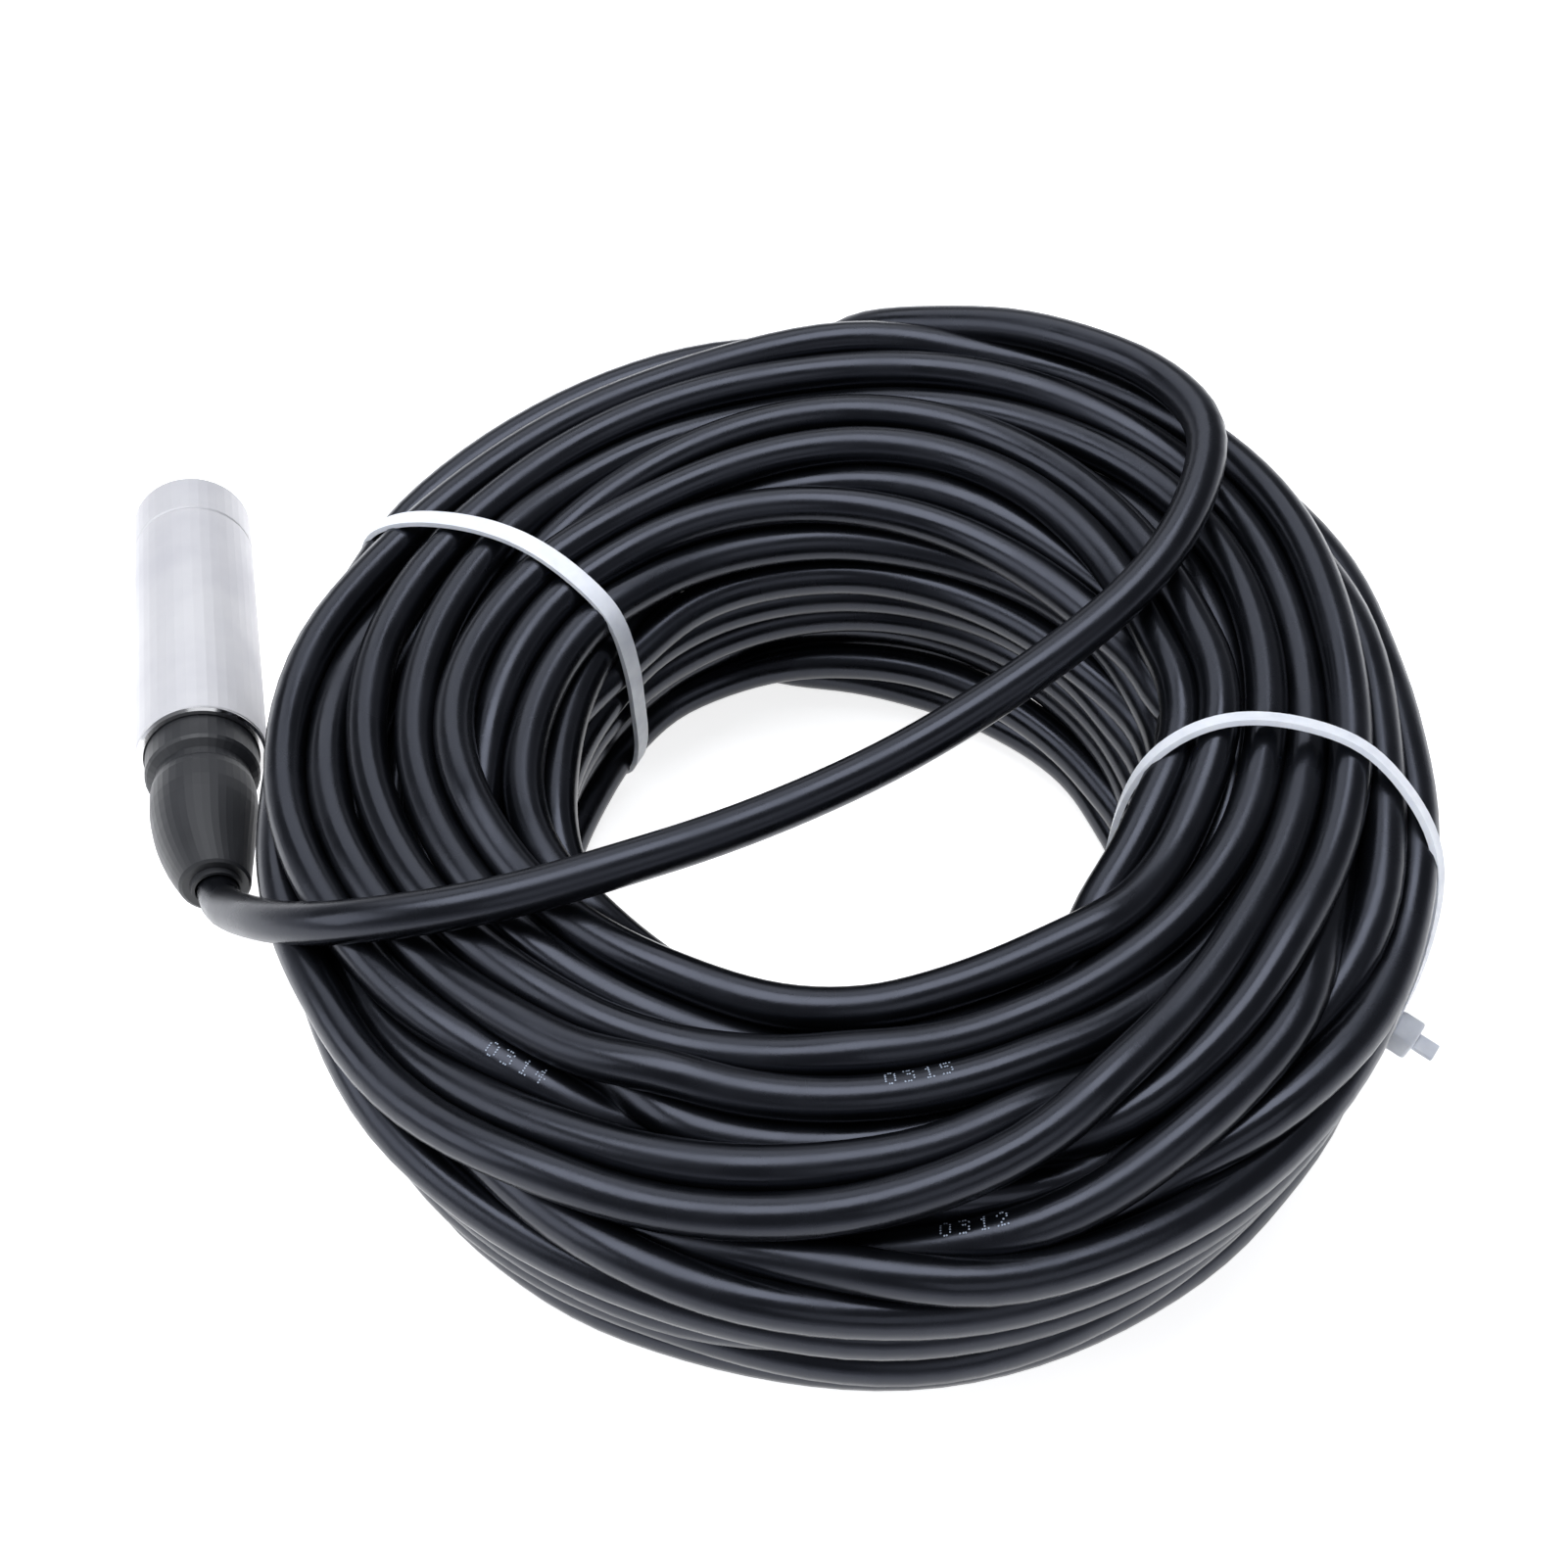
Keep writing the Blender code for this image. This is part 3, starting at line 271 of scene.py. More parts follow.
# Pale printing ink of the metre numbers: matt and slightly blue.
PRINT_INK = Finish("pale_printing_ink", "A9B4C4", "8E99AA", 0.55, grain_mm=0.2, grain_height_mm=0.001,
                   mottle_mm=1.5)


# ---------------- studio

# (name, place, target, width, depth, watts) of each soft box, in metres.
SOFT_BOXES = (
    ("soft_box_top", (0.05, 0.04, 1.0), (0.08, -0.05, 0.0), 0.9, 0.55, 8.0),
    ("soft_box_left", (-0.85, -0.1, 0.62), (0.05, -0.05, 0.0), 0.8, 0.6, 4.0),
    ("soft_box_back", (0.05, 0.75, 0.85), (0.08, -0.05, 0.0), 1.0, 0.6, 3.2),
    ("soft_box_front", (0.3, -1.0, 0.8), (0.1, -0.05, 0.0), 0.9, 0.5, 1.2),
)


@dataclass
class Studio:
    """The camera at the photograph's angle, the soft lamps, the white floor and the backdrop."""

    camera_place: tuple[float, float, float] = (0.0538, -0.3131, 0.3426)
    azimuth: float = 14.1
    depression: float = 50.5
    lens: float = 45.06
    floor_size: float = 4.0
    floor_lift: float = 0.8
    lamp_colour: tuple[float, float, float] = (0.93, 0.955, 1.0)

    def build(self) -> None:
        """Make the camera, the floor, the lamps and the world."""
        self._camera()
        self._floor()
        self._lamps()
        self._world()

    def _camera(self) -> None:
        """Place the camera and make it the scene's."""
        data = bpy.data.cameras.new("photo_camera")
        data.lens, data.sensor_width = self.lens, 36.0
        data.clip_start, data.clip_end = 0.01, 20.0
        camera = bpy.data.objects.new("photo_camera", data)
        camera.location = self.camera_place
        camera.rotation_euler = (math.radians(90 - self.depression), 0.0, -math.radians(self.azimuth))
        bpy.context.scene.collection.objects.link(camera)
        bpy.context.scene.camera = camera
        bpy.context.scene.view_settings.view_transform = "Standard"

    def _floor(self) -> None:
        """Lay a pale table top that shows white and still takes the object's shadow."""
        paper = bpy.data.materials.new("white_paper_sweep")
        paper.use_nodes = True
        tree = paper.node_tree
        shader = tree.nodes["Principled BSDF"]
        shader.inputs["Roughness"].default_value = 0.9
        shader.inputs["Specular IOR Level"].default_value = 0.1
        place = add_node(tree, "ShaderNodeTexCoord")
        fibre = add_node(tree, "ShaderNodeTexNoise", values={"Scale": 400.0}, links={"Vector": (place, "Object")})
        tint = add_node(tree, "ShaderNodeMix", {"data_type": "RGBA"},
                        {6: linear("F6F6F6"), 7: linear("FAFAFA")}, {0: (fibre, "Fac")})
        tree.links.new(tint.outputs[2], shader.inputs["Base Color"])
        path = add_node(tree, "ShaderNodeLightPath")
        seen = add_node(tree, "ShaderNodeMath", {"operation": "MAXIMUM"},
                        links={0: (path, "Is Camera Ray"), 1: (path, "Is Glossy Ray")})
        lift = add_node(tree, "ShaderNodeMath", {"operation": "MULTIPLY"}, {1: self.floor_lift},
                        {0: (seen, "Value")})
        shader.inputs["Emission Color"].default_value = (1.0, 1.0, 1.0, 1.0)
        tree.links.new(lift.outputs["Value"], shader.inputs["Emission Strength"])
        bm = bmesh.new()
        bmesh.ops.create_grid(bm, x_segments=1, y_segments=1, size=self.floor_size / 2)
        floor = finish_mesh("studio_floor", bm, paper)

    def _lamps(self) -> None:
        """Hang large soft boxes over and around the object."""
        for name, place, target, width, depth, power in SOFT_BOXES:
            data = bpy.data.lights.new(name, "AREA")
            data.shape, data.size, data.size_y, data.energy = "RECTANGLE", width, depth, power
            data.color = self.lamp_colour
            lamp = bpy.data.objects.new(name, data)
            lamp.location = place
            lamp.rotation_euler = (Vector(target) - Vector(place)).to_track_quat("-Z", "Y").to_euler()
            bpy.context.scene.collection.objects.link(lamp)

    def _world(self) -> None:
        """Make the world white to the camera, and elsewhere a tent that is bright low down and dimmer overhead."""
        world = bpy.data.worlds.new("white_studio")
        bpy.context.scene.world = world
        world.use_nodes = True
        tree = world.node_tree
        background = tree.nodes["Background"]
        place = add_node(tree, "ShaderNodeTexCoord")
        height = add_node(tree, "ShaderNodeSeparateXYZ", links={"Vector": (place, "Generated")})
        tent = add_node(tree, "ShaderNodeMapRange", {"interpolation_type": "SMOOTHSTEP"},
                        {"From Min": 0.03, "From Max": 0.42, "To Min": 0.95, "To Max": 0.2},
                        {"Value": (height, "Z")})
        path = add_node(tree, "ShaderNodeLightPath")
        seen = add_node(tree, "ShaderNodeMath", {"operation": "MAXIMUM"},
                        links={0: (path, "Is Camera Ray"), 1: (path, "Is Transmission Ray")})
        level = add_node(tree, "ShaderNodeMix", {"data_type": "FLOAT"}, {3: 1.0},
                         {0: (seen, "Value"), 2: (tent, "Result")})
        tint = add_node(tree, "ShaderNodeMix", {"data_type": "RGBA"}, {6: linear("F2F5FF"), 7: linear("FFFFFF")},
                        {0: (seen, "Value")})
        tree.links.new(level.outputs[0], background.inputs["Strength"])
        tree.links.new(tint.outputs[2], background.inputs["Color"])


# ---------------- the coiled cable

# Each row is one turn of the cable in the order it was wound: (azimuth, place along the section, depth), where
# azimuth runs from 129 degrees once round, the place is in mm along the coil's outline from its top ridge, outward
# positive, and the depth is in mm below that outline. With no depth the strand lies in the surface, at SURFACE_DEPTH.
SURFACE_DEPTH = 4.0
TURNS: tuple[tuple[tuple[float, ...], ...], ...] = (
    # far outer wall, into the front's long crossing strand
    ((129, 44), (150, 38), (165, 32), (180, 26), (195, 23.4), (210, 20.5), (225, 19.8), (240, 17.7), (255, 14.7, 3),
     (270, 10.5, 2), (285, 4.6, 2), (300, 0.2, 3), (315, -0.7), (330, 0.5), (345, 2.5), (360, 4.5), (375, 7.5),
     (390, 8), (405, 9), (420, 9), (435, 8.5), (450, 7.3), (465, 7), (480, 6.5), (489, 8.5)),
    # broad top strand of the front
    ((129, 8.5), (150, 10.9), (165, 8.6), (180, 3.5), (195, -0.5), (210, -4.5), (225, -7.7), (240, -10.9),
     (255, -11.6), (270, -11.4), (285, -10.7), (300, -9.1), (315, -8.3), (330, -7.1), (345, -5), (360, -3.5),
     (375, 0), (390, 3), (405, 3), (420, 3.5), (430, 2.5, 6), (440, 1, 10), (455, 0, 12), (470, 0, 9), (480, 1, 5),
     (489, 1)),
    ((129, 1), (150, 1.8), (165, 0), (180, -5), (190, -8), (200, -11), (210, -12), (225, -16, 5), (240, -18, 9),
     (255, -15, 12), (270, -12, 12), (300, -9, 12), (315, -12, 9), (330, -12.5), (345, -12), (360, -10), (375, -7),
     (390, -4), (400, -2, 6), (420, -6, 12), (450, -20, 14), (489, -33, 11)),
    ((129, -36, 10), (150, -36, 10), (180, -35, 9), (210, -36, 5), (240, -38), (270, -40), (300, -40), (345, -36, 5),
     (360, -34, 5), (375, -33), (390, -33), (405, -33.5), (420, -33), (435, -31), (450, -30.5), (465, -28),
     (480, -24.5), (489, -22.5)),
    ((129, -22.5), (150, -20.5), (165, -19), (180, -18.7), (195, -20.5), (210, -23), (240, -29), (270, -31),
     (300, -31), (330, -31), (345, -31), (360, -27, 5), (375, -26), (390, -23.5), (405, -21.5), (420, -18.6),
     (435, -17.3, 6), (450, -18, 11), (470, -20, 12), (489, -22, 12)),
    ((129, -26, 12), (180, -24, 12), (240, -32, 12), (300, -33, 10), (345, -31, 5), (360, -30), (375, -29.5),
     (390, -29), (405, -28.6), (420, -26.4), (435, -23), (450, -21), (465, -19.3), (480, -18.5), (489, -18.5, 6)),
    ((129, -14), (150, -13.8), (165, -13), (175, -12.5, 6), (190, -13, 10), (210, -16, 12), (240, -24, 10),
     (270, -25, 5), (300, -25), (330, -25), (345, -23.5), (360, -21.5), (375, -20), (390, -17.5), (405, -14.5),
     (420, -11), (435, -10.5), (450, -12), (465, -13), (480, -13), (489, -10.5)),
    ((129, -8.5), (140, -7), (150, -6.5), (165, -7.3), (180, -12), (190, -16), (200, -18), (210, -18), (225, -20),
     (240, -21), (255, -19.5), (270, -19), (285, -18), (300, -17), (315, -16.5), (330, -17.5), (345, -19), (360, -17),
     (375, -14), (390, -11), (405, -6.5), (420, 0), (435, 1), (450, -1), (465, -3), (480, -4.5), (489, -5.5)),
    ((129, -2, 9), (150, 3, 12), (180, 3, 12), (210, 5, 12), (225, 4.5, 7), (240, 4.1), (255, 2.9), (270, 0.6),
     (280, -0.5, 8), (300, -2, 12), (330, -4, 12), (390, -12, 12), (450, -22, 14), (489, -29, 8)),
    ((129, -31), (150, -29.5), (165, -28), (180, -26), (195, -27), (210, -30), (240, -38), (270, -48), (300, -48),
     (330, -44), (345, -41, 5), (360, -38, 5), (375, -37), (390, -38), (405, -39.3), (420, -39.6), (435, -39.2),
     (450, -38.5), (465, -34.6), (480, -32.3), (489, -31)),
    ((129, -37, 6), (150, -40, 8), (180, -42, 8), (210, -44, 8), (240, -52, 6), (300, -56, 5), (345, -46, 5),
     (360, -43, 5), (375, -41, 5), (390, -42, 5), (405, -44.6, 6), (420, -45.4, 6), (435, -45, 6), (450, -43.8, 6),
     (465, -41, 6), (480, -38, 6), (489, -37, 6)),
    ((129, -45, 9), (150, -48, 9), (180, -50, 9), (240, -60, 6), (300, -64, 5), (345, -52, 7), (375, -46, 8),
     (390, -46.5, 9), (405, -49, 9), (420, -49.5, 9), (435, -49, 9), (450, -48.8, 9), (465, -46, 9), (480, -44, 9),
     (489, -45, 9)),
    ((129, -50, 13), (180, -56, 12), (240, -70, 6), (300, -72, 5), (345, -58, 9), (375, -51, 12), (390, -51, 12),
     (420, -53.5, 12), (450, -53, 12), (480, -48, 12), (489, -50, 13)),
    ((129, -58, 16), (180, -62, 14), (240, -80, 6), (300, -80, 5), (345, -64, 11), (375, -56, 15), (420, -57, 16),
     (450, -57.5, 16), (489, -58, 16)),
    ((129, -66, 8), (240, -76, 8), (330, -76, 8), (360, -68, 6), (420, -66, 6), (489, -70, 6)),
    ((129, -80), (240, -82), (330, -82), (360, -82, 3), (450, -82, 3), (465, -70, 14), (480, -40, 26),
     (489, -10, 22)),
    # the far outer wall and the strands that dive under the crossing one
    ((129, 17, 9), (140, 19.5), (150, 21.5), (165, 17.7), (180, 12), (195, 8.6), (210, 3.2), (225, -0.4), (240, -1.8),
     (255, -3.1), (270, -3.3), (285, -3.7), (295, -3, 7), (310, -2, 11), (330, 0, 12), (360, 3, 12), (390, 0, 12),
     (420, 8, 12), (450, 12, 12), (489, 12, 12)),
    ((129, 12, 12), (150, 14, 12), (180, 14, 12), (200, 12, 9), (210, 11, 6), (220, 13), (230, 12.4), (240, 10.3),
     (255, 7.7), (265, 5.8), (270, 4.5, 5), (280, 3.5, 8), (300, 6, 12), (330, 8, 12), (390, 12, 12), (450, 20, 12),
     (489, 22, 12)),
    ((129, 22, 12), (150, 22, 12), (180, 20, 12), (210, 17, 12), (240, 14, 12), (255, 12.5, 11), (265, 11, 9),
     (275, 10.5, 5), (285, 10.8), (300, 9.5), (315, 8.5), (330, 8.5), (345, 9.5), (360, 12.5), (375, 14), (390, 14.5),
     (405, 16), (420, 16.5), (435, 16), (450, 16), (465, 16), (480, 17.5), (489, 18.5)),
    ((129, 27), (150, 30), (165, 25), (180, 20), (195, 14), (210, 8.9), (220, 5.7, 5), (235, 3, 10), (255, 3, 12),
     (300, 5, 12), (345, 12, 12), (390, 22, 12), (450, 30, 12), (489, 32, 12)),
    ((129, 32, 12), (180, 26, 12), (240, 19, 12), (255, 17, 9), (265, 16.6, 5), (270, 16.4), (280, 15.9, 5),
     (290, 15, 9), (310, 14, 12), (345, 18, 12), (390, 30, 12), (450, 40, 12), (489, 42, 12)),
    ((129, 40, 12), (180, 33, 12), (240, 24, 12), (255, 21, 8), (262, 20.5, 5), (270, 20.8), (285, 18.9), (300, 18.4),
     (315, 16.9), (325, 14.6, 5), (332, 13.5, 8), (345, 13, 11), (375, 20, 12), (420, 28, 8), (450, 26), (489, 27)),
    ((129, 48, 12), (180, 40, 12), (240, 30, 12), (285, 24, 11), (300, 21.5, 9), (315, 21), (330, 18.8), (345, 17.5),
     (360, 19), (370, 20.5, 5), (390, 24), (420, 26), (450, 34), (489, 35.5)),
    ((129, 35.5), (150, 45), (165, 40, 6), (195, 30, 12), (240, 26, 12), (275, 24, 9), (290, 23.3, 6), (300, 23.7),
     (315, 24.3), (325, 25), (345, 25.5), (360, 27), (390, 32), (420, 34), (450, 42), (489, 44)),
    ((129, 55, 12), (180, 47, 12), (240, 36, 12), (270, 30, 11), (285, 27, 8), (300, 27, 5), (315, 28.2), (330, 30),
     (345, 33), (360, 36), (390, 41), (420, 43), (450, 51), (489, 52)),
    ((129, 52), (165, 48, 6), (195, 36, 10), (240, 24, 10), (255, 22.2, 5), (270, 25.5), (285, 27.5), (300, 31),
     (315, 35), (330, 38), (345, 41), (360, 44), (390, 50), (450, 59), (489, 60)),
    ((129, 60), (150, 56), (180, 44, 6), (205, 30, 8), (220, 26, 6), (230, 24.2), (240, 24.1), (255, 28.4), (270, 33),
     (285, 37.1), (300, 41.8), (315, 45), (330, 47), (345, 49), (360, 52), (390, 58), (450, 68), (489, 69)),
    ((129, 69), (150, 64), (165, 54), (180, 44), (195, 38, 5), (210, 36.5, 6), (225, 37), (240, 39.2), (255, 42, 5),
     (262, 44, 7), (285, 46, 11), (330, 54, 10), (390, 66, 6), (450, 77), (489, 78)),
    ((129, 78), (150, 72), (180, 60, 6), (210, 48, 8), (225, 45, 8), (240, 45, 6), (255, 46, 6), (265, 48, 5),
     (285, 53.5, 5), (300, 56, 7), (330, 62, 8), (390, 74, 6), (450, 84), (489, 86)),
    ((129, 86), (180, 76, 6), (210, 58, 9), (225, 50, 7), (240, 51, 6), (255, 54.5, 6), (270, 57.5, 6),
     (285, 55.5, 7), (300, 60, 9), (330, 70, 8), (390, 84, 6), (450, 94), (489, 95)),
    ((129, 104), (240, 98, 5), (330, 100, 5), (450, 104), (489, 104)),
    ((129, 113), (240, 110, 5), (330, 110, 5), (450, 113), (489, 112, 6)),
    ((129, 108, 12), (240, 106, 13), (330, 106, 13), (489, 108, 12)),
    ((129, 98, 12), (240, 92, 14), (330, 92, 14), (489, 98, 12)),
    ((129, 78, 14), (240, 70, 16), (330, 74, 16), (489, 72, 14)),
    ((129, 66, 13), (240, 60, 16), (330, 64, 16), (489, 66, 14)),
    ((129, 50, 22), (240, 46, 22), (330, 48, 22), (489, 30, 22)),
    # the last turn runs out to the tail along the outer wall
    ((129, 62, 8), (150, 52), (165, 42), (180, 34), (195, 30.7), (210, 28.6), (225, 28.3), (240, 32), (255, 36.3),
     (270, 41.8), (285, 47), (300, 51.6), (315, 54), (330, 56), (345, 58), (360, 60), (390, 64), (420, 69, 2),
     (432, 71, 0)),
)

# How the wound coil differs from a plain ring, by azimuth in degrees: how far its outer wall reaches out at the top's
# edge and at the floor, how far the hole's wall recedes at its foot, and how far it stands back all the way up, in mm.
REACH: tuple[tuple[float, float, float, float, float], ...] = (
    (0, -2, -2.8, 8, 8), (10, 2.8, 1.4, 8.5, 5), (20, 6, 4.4, 9.5, 2), (40, 5.2, 3.6, 9, 0), (60, 5.2, 4.3, 10, 0),
    (80, 7.6, 6.3, 13.5, 0), (95, 8, 6.4, 15, 0), (110, 7, 5.6, 15, 0), (125, 7.4, 6, 10.5, 0),
    (140, 7.2, 4.1, 6.5, 0), (155, 5.6, 1.2, 5, 0), (170, 3.8, -1.9, 3.2, 0), (180, 0.6, -7.8, 1.5, 0),
    (190, -1, -11.2, 0, 0), (205, 1, -5, 0, 0), (220, 0.6, -7.6, 0, 0), (235, 0, -5, 0, 0), (250, 0, -1.8, 0, 0),
    (260, 0, 3.1, 0, 0), (270, 0, 4.4, 0, 0), (280, 0, 2.9, 0, 0), (290, 0, -1.2, 0, 0), (300, -0.2, -5, 0, 0),
    (315, -0.6, -3.4, 0, 0.5), (330, -1.5, -1.8, 0, 2.5), (345, -3, -2.6, 3, 7), (360, -2, -2.8, 8, 8),
)

# The free cable from the boot over the coil (x, y, z), the boot's mouth and heading, and the tail (azimuth, radius, z),
# in mm and degrees.
LEAD_ROUTE = ((8.9, -81.4, 44.6), (18.2, -92.7, 54.4), (32.4, -100.8, 61.8), (54.9, -104.3, 65.2),
              (76.2, -102.5, 65.4), (98.5, -98.7, 64.8), (128.0, -91.5, 65.8), (151.8, -84.1, 69.6),
              (177.0, -74.2, 75.7), (194.8, -62.0, 80.6), (206.4, -47.0, 84.0), (210.0, -35.0, 85.0),
              (206.8, -19.6, 84.2), (198.7, -6.2, 82.6), (186.3, 7.7, 79.8), (172.6, 19.4, 74.8),
              (158.1, 30.4, 67.7), (145.0, 33.8, 58.5))
BOOT_MOUTH = (2.1, -65.8, 34.15)
BOOT_HEADING = (0.194, -0.954, 0.230)
TAIL_ROUTE = ((82, 114.6, 12.5), (92, 116.8, 8.0), (101, 121.2, 5.8), (109, 126.8, 5.2))


@dataclass
class CableCoil:
    """The cable from the boot round its loop, through the coil and out to its bare end."""

    centre: tuple[float, float] = (124.6, -80.6)
    inner: float = 54.0
    outer: float = 110.0
    height: float = 66.0
    top_corner: float = 19.0
    base_corner: float = 12.0
    tilt: float = 0.14
    high_side: float = 36.0
    diameter: float = 8.0
    columns: int = 60
    start: float = 129.0
    length: float = 20.0
    rounds: int = 400
    pushes: int = 5
    hold_shown: float = 0.32
    hold_hidden: float = 0.03
    shown_depth: float = 6.5
    spacing: float = 4.3
    tail_azimuth: float = 432.0
    foot_from: float = 46.0
    foot_run: float = 42.0
    wall_from: float = 84.0
    wall_run: float = 18.0
    front_spread: float = 62.0
    front_lean: float = 3.0
    firmness_lost: float = 0.6
    push_share: float = 0.6
    camera: tuple[float, float, float] = (53.8, -313.1, 342.6)
    spots: np.ndarray = field(init=False)
    turn_points: np.ndarray = field(init=False)

    def outline(self, azimuth: float) -> tuple[np.ndarray, np.ndarray]:
        """Outline of the coil's section at an azimuth in degrees.

        Args:
            azimuth: Degrees about the coil's centre.

        Returns:
            The (radius, height) points and each one's distance from the top ridge.
        """
        def corner(r: float, z: float, radius: float, begin: float, end: float) -> np.ndarray:
            """Points on a rounded corner round (r, z)."""
            turn = np.radians(np.linspace(begin, end, 16))
            return np.stack([r + radius * np.cos(turn), z + radius * np.sin(turn)], 1)
        base, top = self.base_corner, self.top_corner
        points = np.concatenate([
            corner(self.inner + base, base, base, 270, 180),
            corner(self.inner + top, self.height - top, top, 180, 90),
            corner(self.outer - top, self.height - top, top, 90, 0),
            corner(self.outer - base, base, base, 0, -90)])
        ridge = (self.inner + self.outer) / 2
        points[:, 1] *= 1 + self.tilt * np.cos(math.radians(azimuth - self.high_side)) * points[:, 0] / ridge
        points = np.concatenate([points, points[:1]])
        along = np.concatenate([[0.0], np.cumsum(np.linalg.norm(np.diff(points, axis=0), axis=1))])
        crossing = next(i for i in range(20, len(points)) if points[i, 0] <= ridge < points[i + 1, 0])
        share = (ridge - points[crossing, 0]) / (points[crossing + 1, 0] - points[crossing, 0])
        return points, along - (along[crossing] + share * (along[crossing + 1] - along[crossing]))

    def place(self, azimuth: float, along: float, depth: float) -> np.ndarray:
        """Centre of a strand from where it shows in the surface.

        Args:
            azimuth: Degrees about the coil's centre.
            along: Millimetres along the outline from the ridge.
            depth: Millimetres below the outline.

        Returns:
            Radius and height in millimetres, moved back along the line of sight by the depth.
        """
        points, distance = self.outline(azimuth)
        along = float(np.clip(along, distance[0] + 1.5, distance[-1] - 1.5))
        spot = np.array([np.interp(along, distance, points[:, i]) for i in (0, 1)])
        ahead = np.array([np.interp(along + 1, distance, points[:, i]) for i in (0, 1)])
        behind = np.array([np.interp(along - 1, distance, points[:, i]) for i in (0, 1)])
        run = (ahead - behind) / np.linalg.norm(ahead - behind)
        inward = np.array([run[1], -run[0]])
        turn = math.radians(azimuth)
        outward3 = np.array([-inward[0] * math.cos(turn), -inward[0] * math.sin(turn), -inward[1]])
        spot3 = np.array([self.centre[0] + spot[0] * math.cos(turn), self.centre[1] + spot[0] * math.sin(turn),
                          spot[1]])
        sight = spot3 - np.array(self.camera)
        sight /= np.linalg.norm(sight)
        facing = -float(sight @ outward3)
        share = min(1.0, max(0.0, (facing - 0.25) / 0.3))
        across = np.array([sight[0] * math.cos(turn) + sight[1] * math.sin(turn), sight[2]]) / max(facing, 0.3)
        return spot + depth * (share * across + (1 - share) * inward)

    def reach(self, azimuth: np.ndarray, radius: np.ndarray, level: np.ndarray) -> np.ndarray:
        """How far a place is moved outward to follow the coil's uneven walls.

        Args:
            azimuth: Degrees about the coil's centre.
            radius: Millimetres from the centre.
            level: Millimetres over the floor.

        Returns:
            Millimetres outward.
        """
        table = np.array(REACH)
        top, foot = (np.interp(azimuth % 360, table[:, 0], table[:, c]) for c in (1, 2))
        low = np.clip((self.foot_from - level) / self.foot_run, 0, 1)
        outer = np.clip((radius - self.wall_from) / self.wall_run, 0, 1)
        inner_top = np.clip((70 - radius) / 6, 0, 1) * np.clip((level - 36) / 12, 0, 1)
        front = np.exp(-(((azimuth + 90 + 180) % 360 - 180) / self.front_spread) ** 2)
        return outer * (top + (foot - top) * low) - self.front_lean * inner_top * front

    def targets(self) -> tuple[np.ndarray, np.ndarray]:
        """Wanted centre of every turn in every column, and how firmly it is held there.

        Returns:
            Arrays of (turn, column, 2) and (turn, column).
        """
        angles = self.start + 360.0 * np.arange(self.columns) / self.columns
        wanted, firm = np.zeros((len(TURNS), self.columns, 2)), np.zeros((len(TURNS), self.columns))
        for i, row in enumerate(TURNS):
            table = np.array([spot if len(spot) == 3 else (*spot, SURFACE_DEPTH) for spot in row], dtype=float)
            for j, angle in enumerate(angles):
                along, depth = (np.interp(angle, table[:, 0], table[:, c]) for c in (1, 2))
                wanted[i, j] = self.place(angle, along, depth)
                firm[i, j] = self.hold_shown if depth <= self.shown_depth else self.hold_hidden
        wanted[..., 0] += self.reach(angles[None, :], wanted[..., 0], wanted[..., 1])
        return wanted, firm

    def wind(self) -> np.ndarray:
        """Relax the turns until none lies in another and each bends smoothly.

        Returns:
            Centres as (turn, column, 2) in millimetres of radius and height.
        """
        wanted, firm = self.targets()
        count = len(TURNS)
        angles = self.start + 360.0 * np.arange(self.columns) / self.columns
        spot = wanted.copy()
        pair = np.triu_indices(count, 1)
        recess, back = (np.interp(angles % 360, np.array(REACH)[:, 0], np.array(REACH)[:, c]) for c in (3, 4))
        for step in range(self.rounds):
            chain = spot.reshape(-1, 2)
            for _ in range(3):
                chain = np.concatenate([chain[:1] * 2 - chain[1:2], chain, chain[-1:] * 2 - chain[-2:-1]])
                chain = (chain[:-2] + 2 * chain[1:-1] + chain[2:]) / 4
            spot = chain.reshape(count, self.columns, 2)
            late = step / self.rounds
            spot += (wanted - spot) * (firm * (1.0 - self.firmness_lost * late))[..., None]
            for _ in range(self.pushes):
                gap = spot[pair[0]] - spot[pair[1]]
                far = np.linalg.norm(gap, axis=2)
                push = np.clip(self.diameter - far, 0, None) * 0.5 / np.maximum(far, 1e-6)
                move = gap * (push * self.push_share)[..., None]
                shift = np.zeros_like(spot)
                np.add.at(shift, pair[0], move)
                np.add.at(shift, pair[1], -move)
                spot += shift
                spot[..., 1] = np.maximum(spot[..., 1], self.diameter / 2)
                edge = self.outer - 2.5 + self.reach(angles[None, :], np.float64(self.outer), spot[..., 1])
                hole = self.inner + 1.5 + np.maximum(recess * np.clip((30 - spot[..., 1]) / 26, 0, 1), back)
                spot[..., 0] = np.clip(spot[..., 0], hole, edge)
        log.info("coil: %d turns, closest strands %.2f mm", count, float(far.min()))
        return self.refine(spot)

    def refine(self, spot: np.ndarray) -> np.ndarray:
        """Put a column between each two on a smooth curve through four of them, then even the bends.

        Args:
            spot: Centres as (turn, column, 2).

        Returns:
            Centres with twice the columns.
        """
        chain = spot.reshape(-1, 2)
        ends = np.concatenate([chain[:1] * 2 - chain[1:2], chain, chain[-1:] * 2 - chain[-2:-1],
                               chain[-1:] * 3 - chain[-2:-1] * 2])
        between = (9 * (ends[1:-2] + ends[2:-1]) - ends[:-3] - ends[3:]) / 16
        fine = np.empty((2 * len(chain), 2))
        fine[0::2], fine[1::2] = chain, between
        for _ in range(2):
            fine[1:-1] = (fine[:-2] + 2 * fine[1:-1] + fine[2:]) / 4
        return fine.reshape(len(spot), -1, 2)

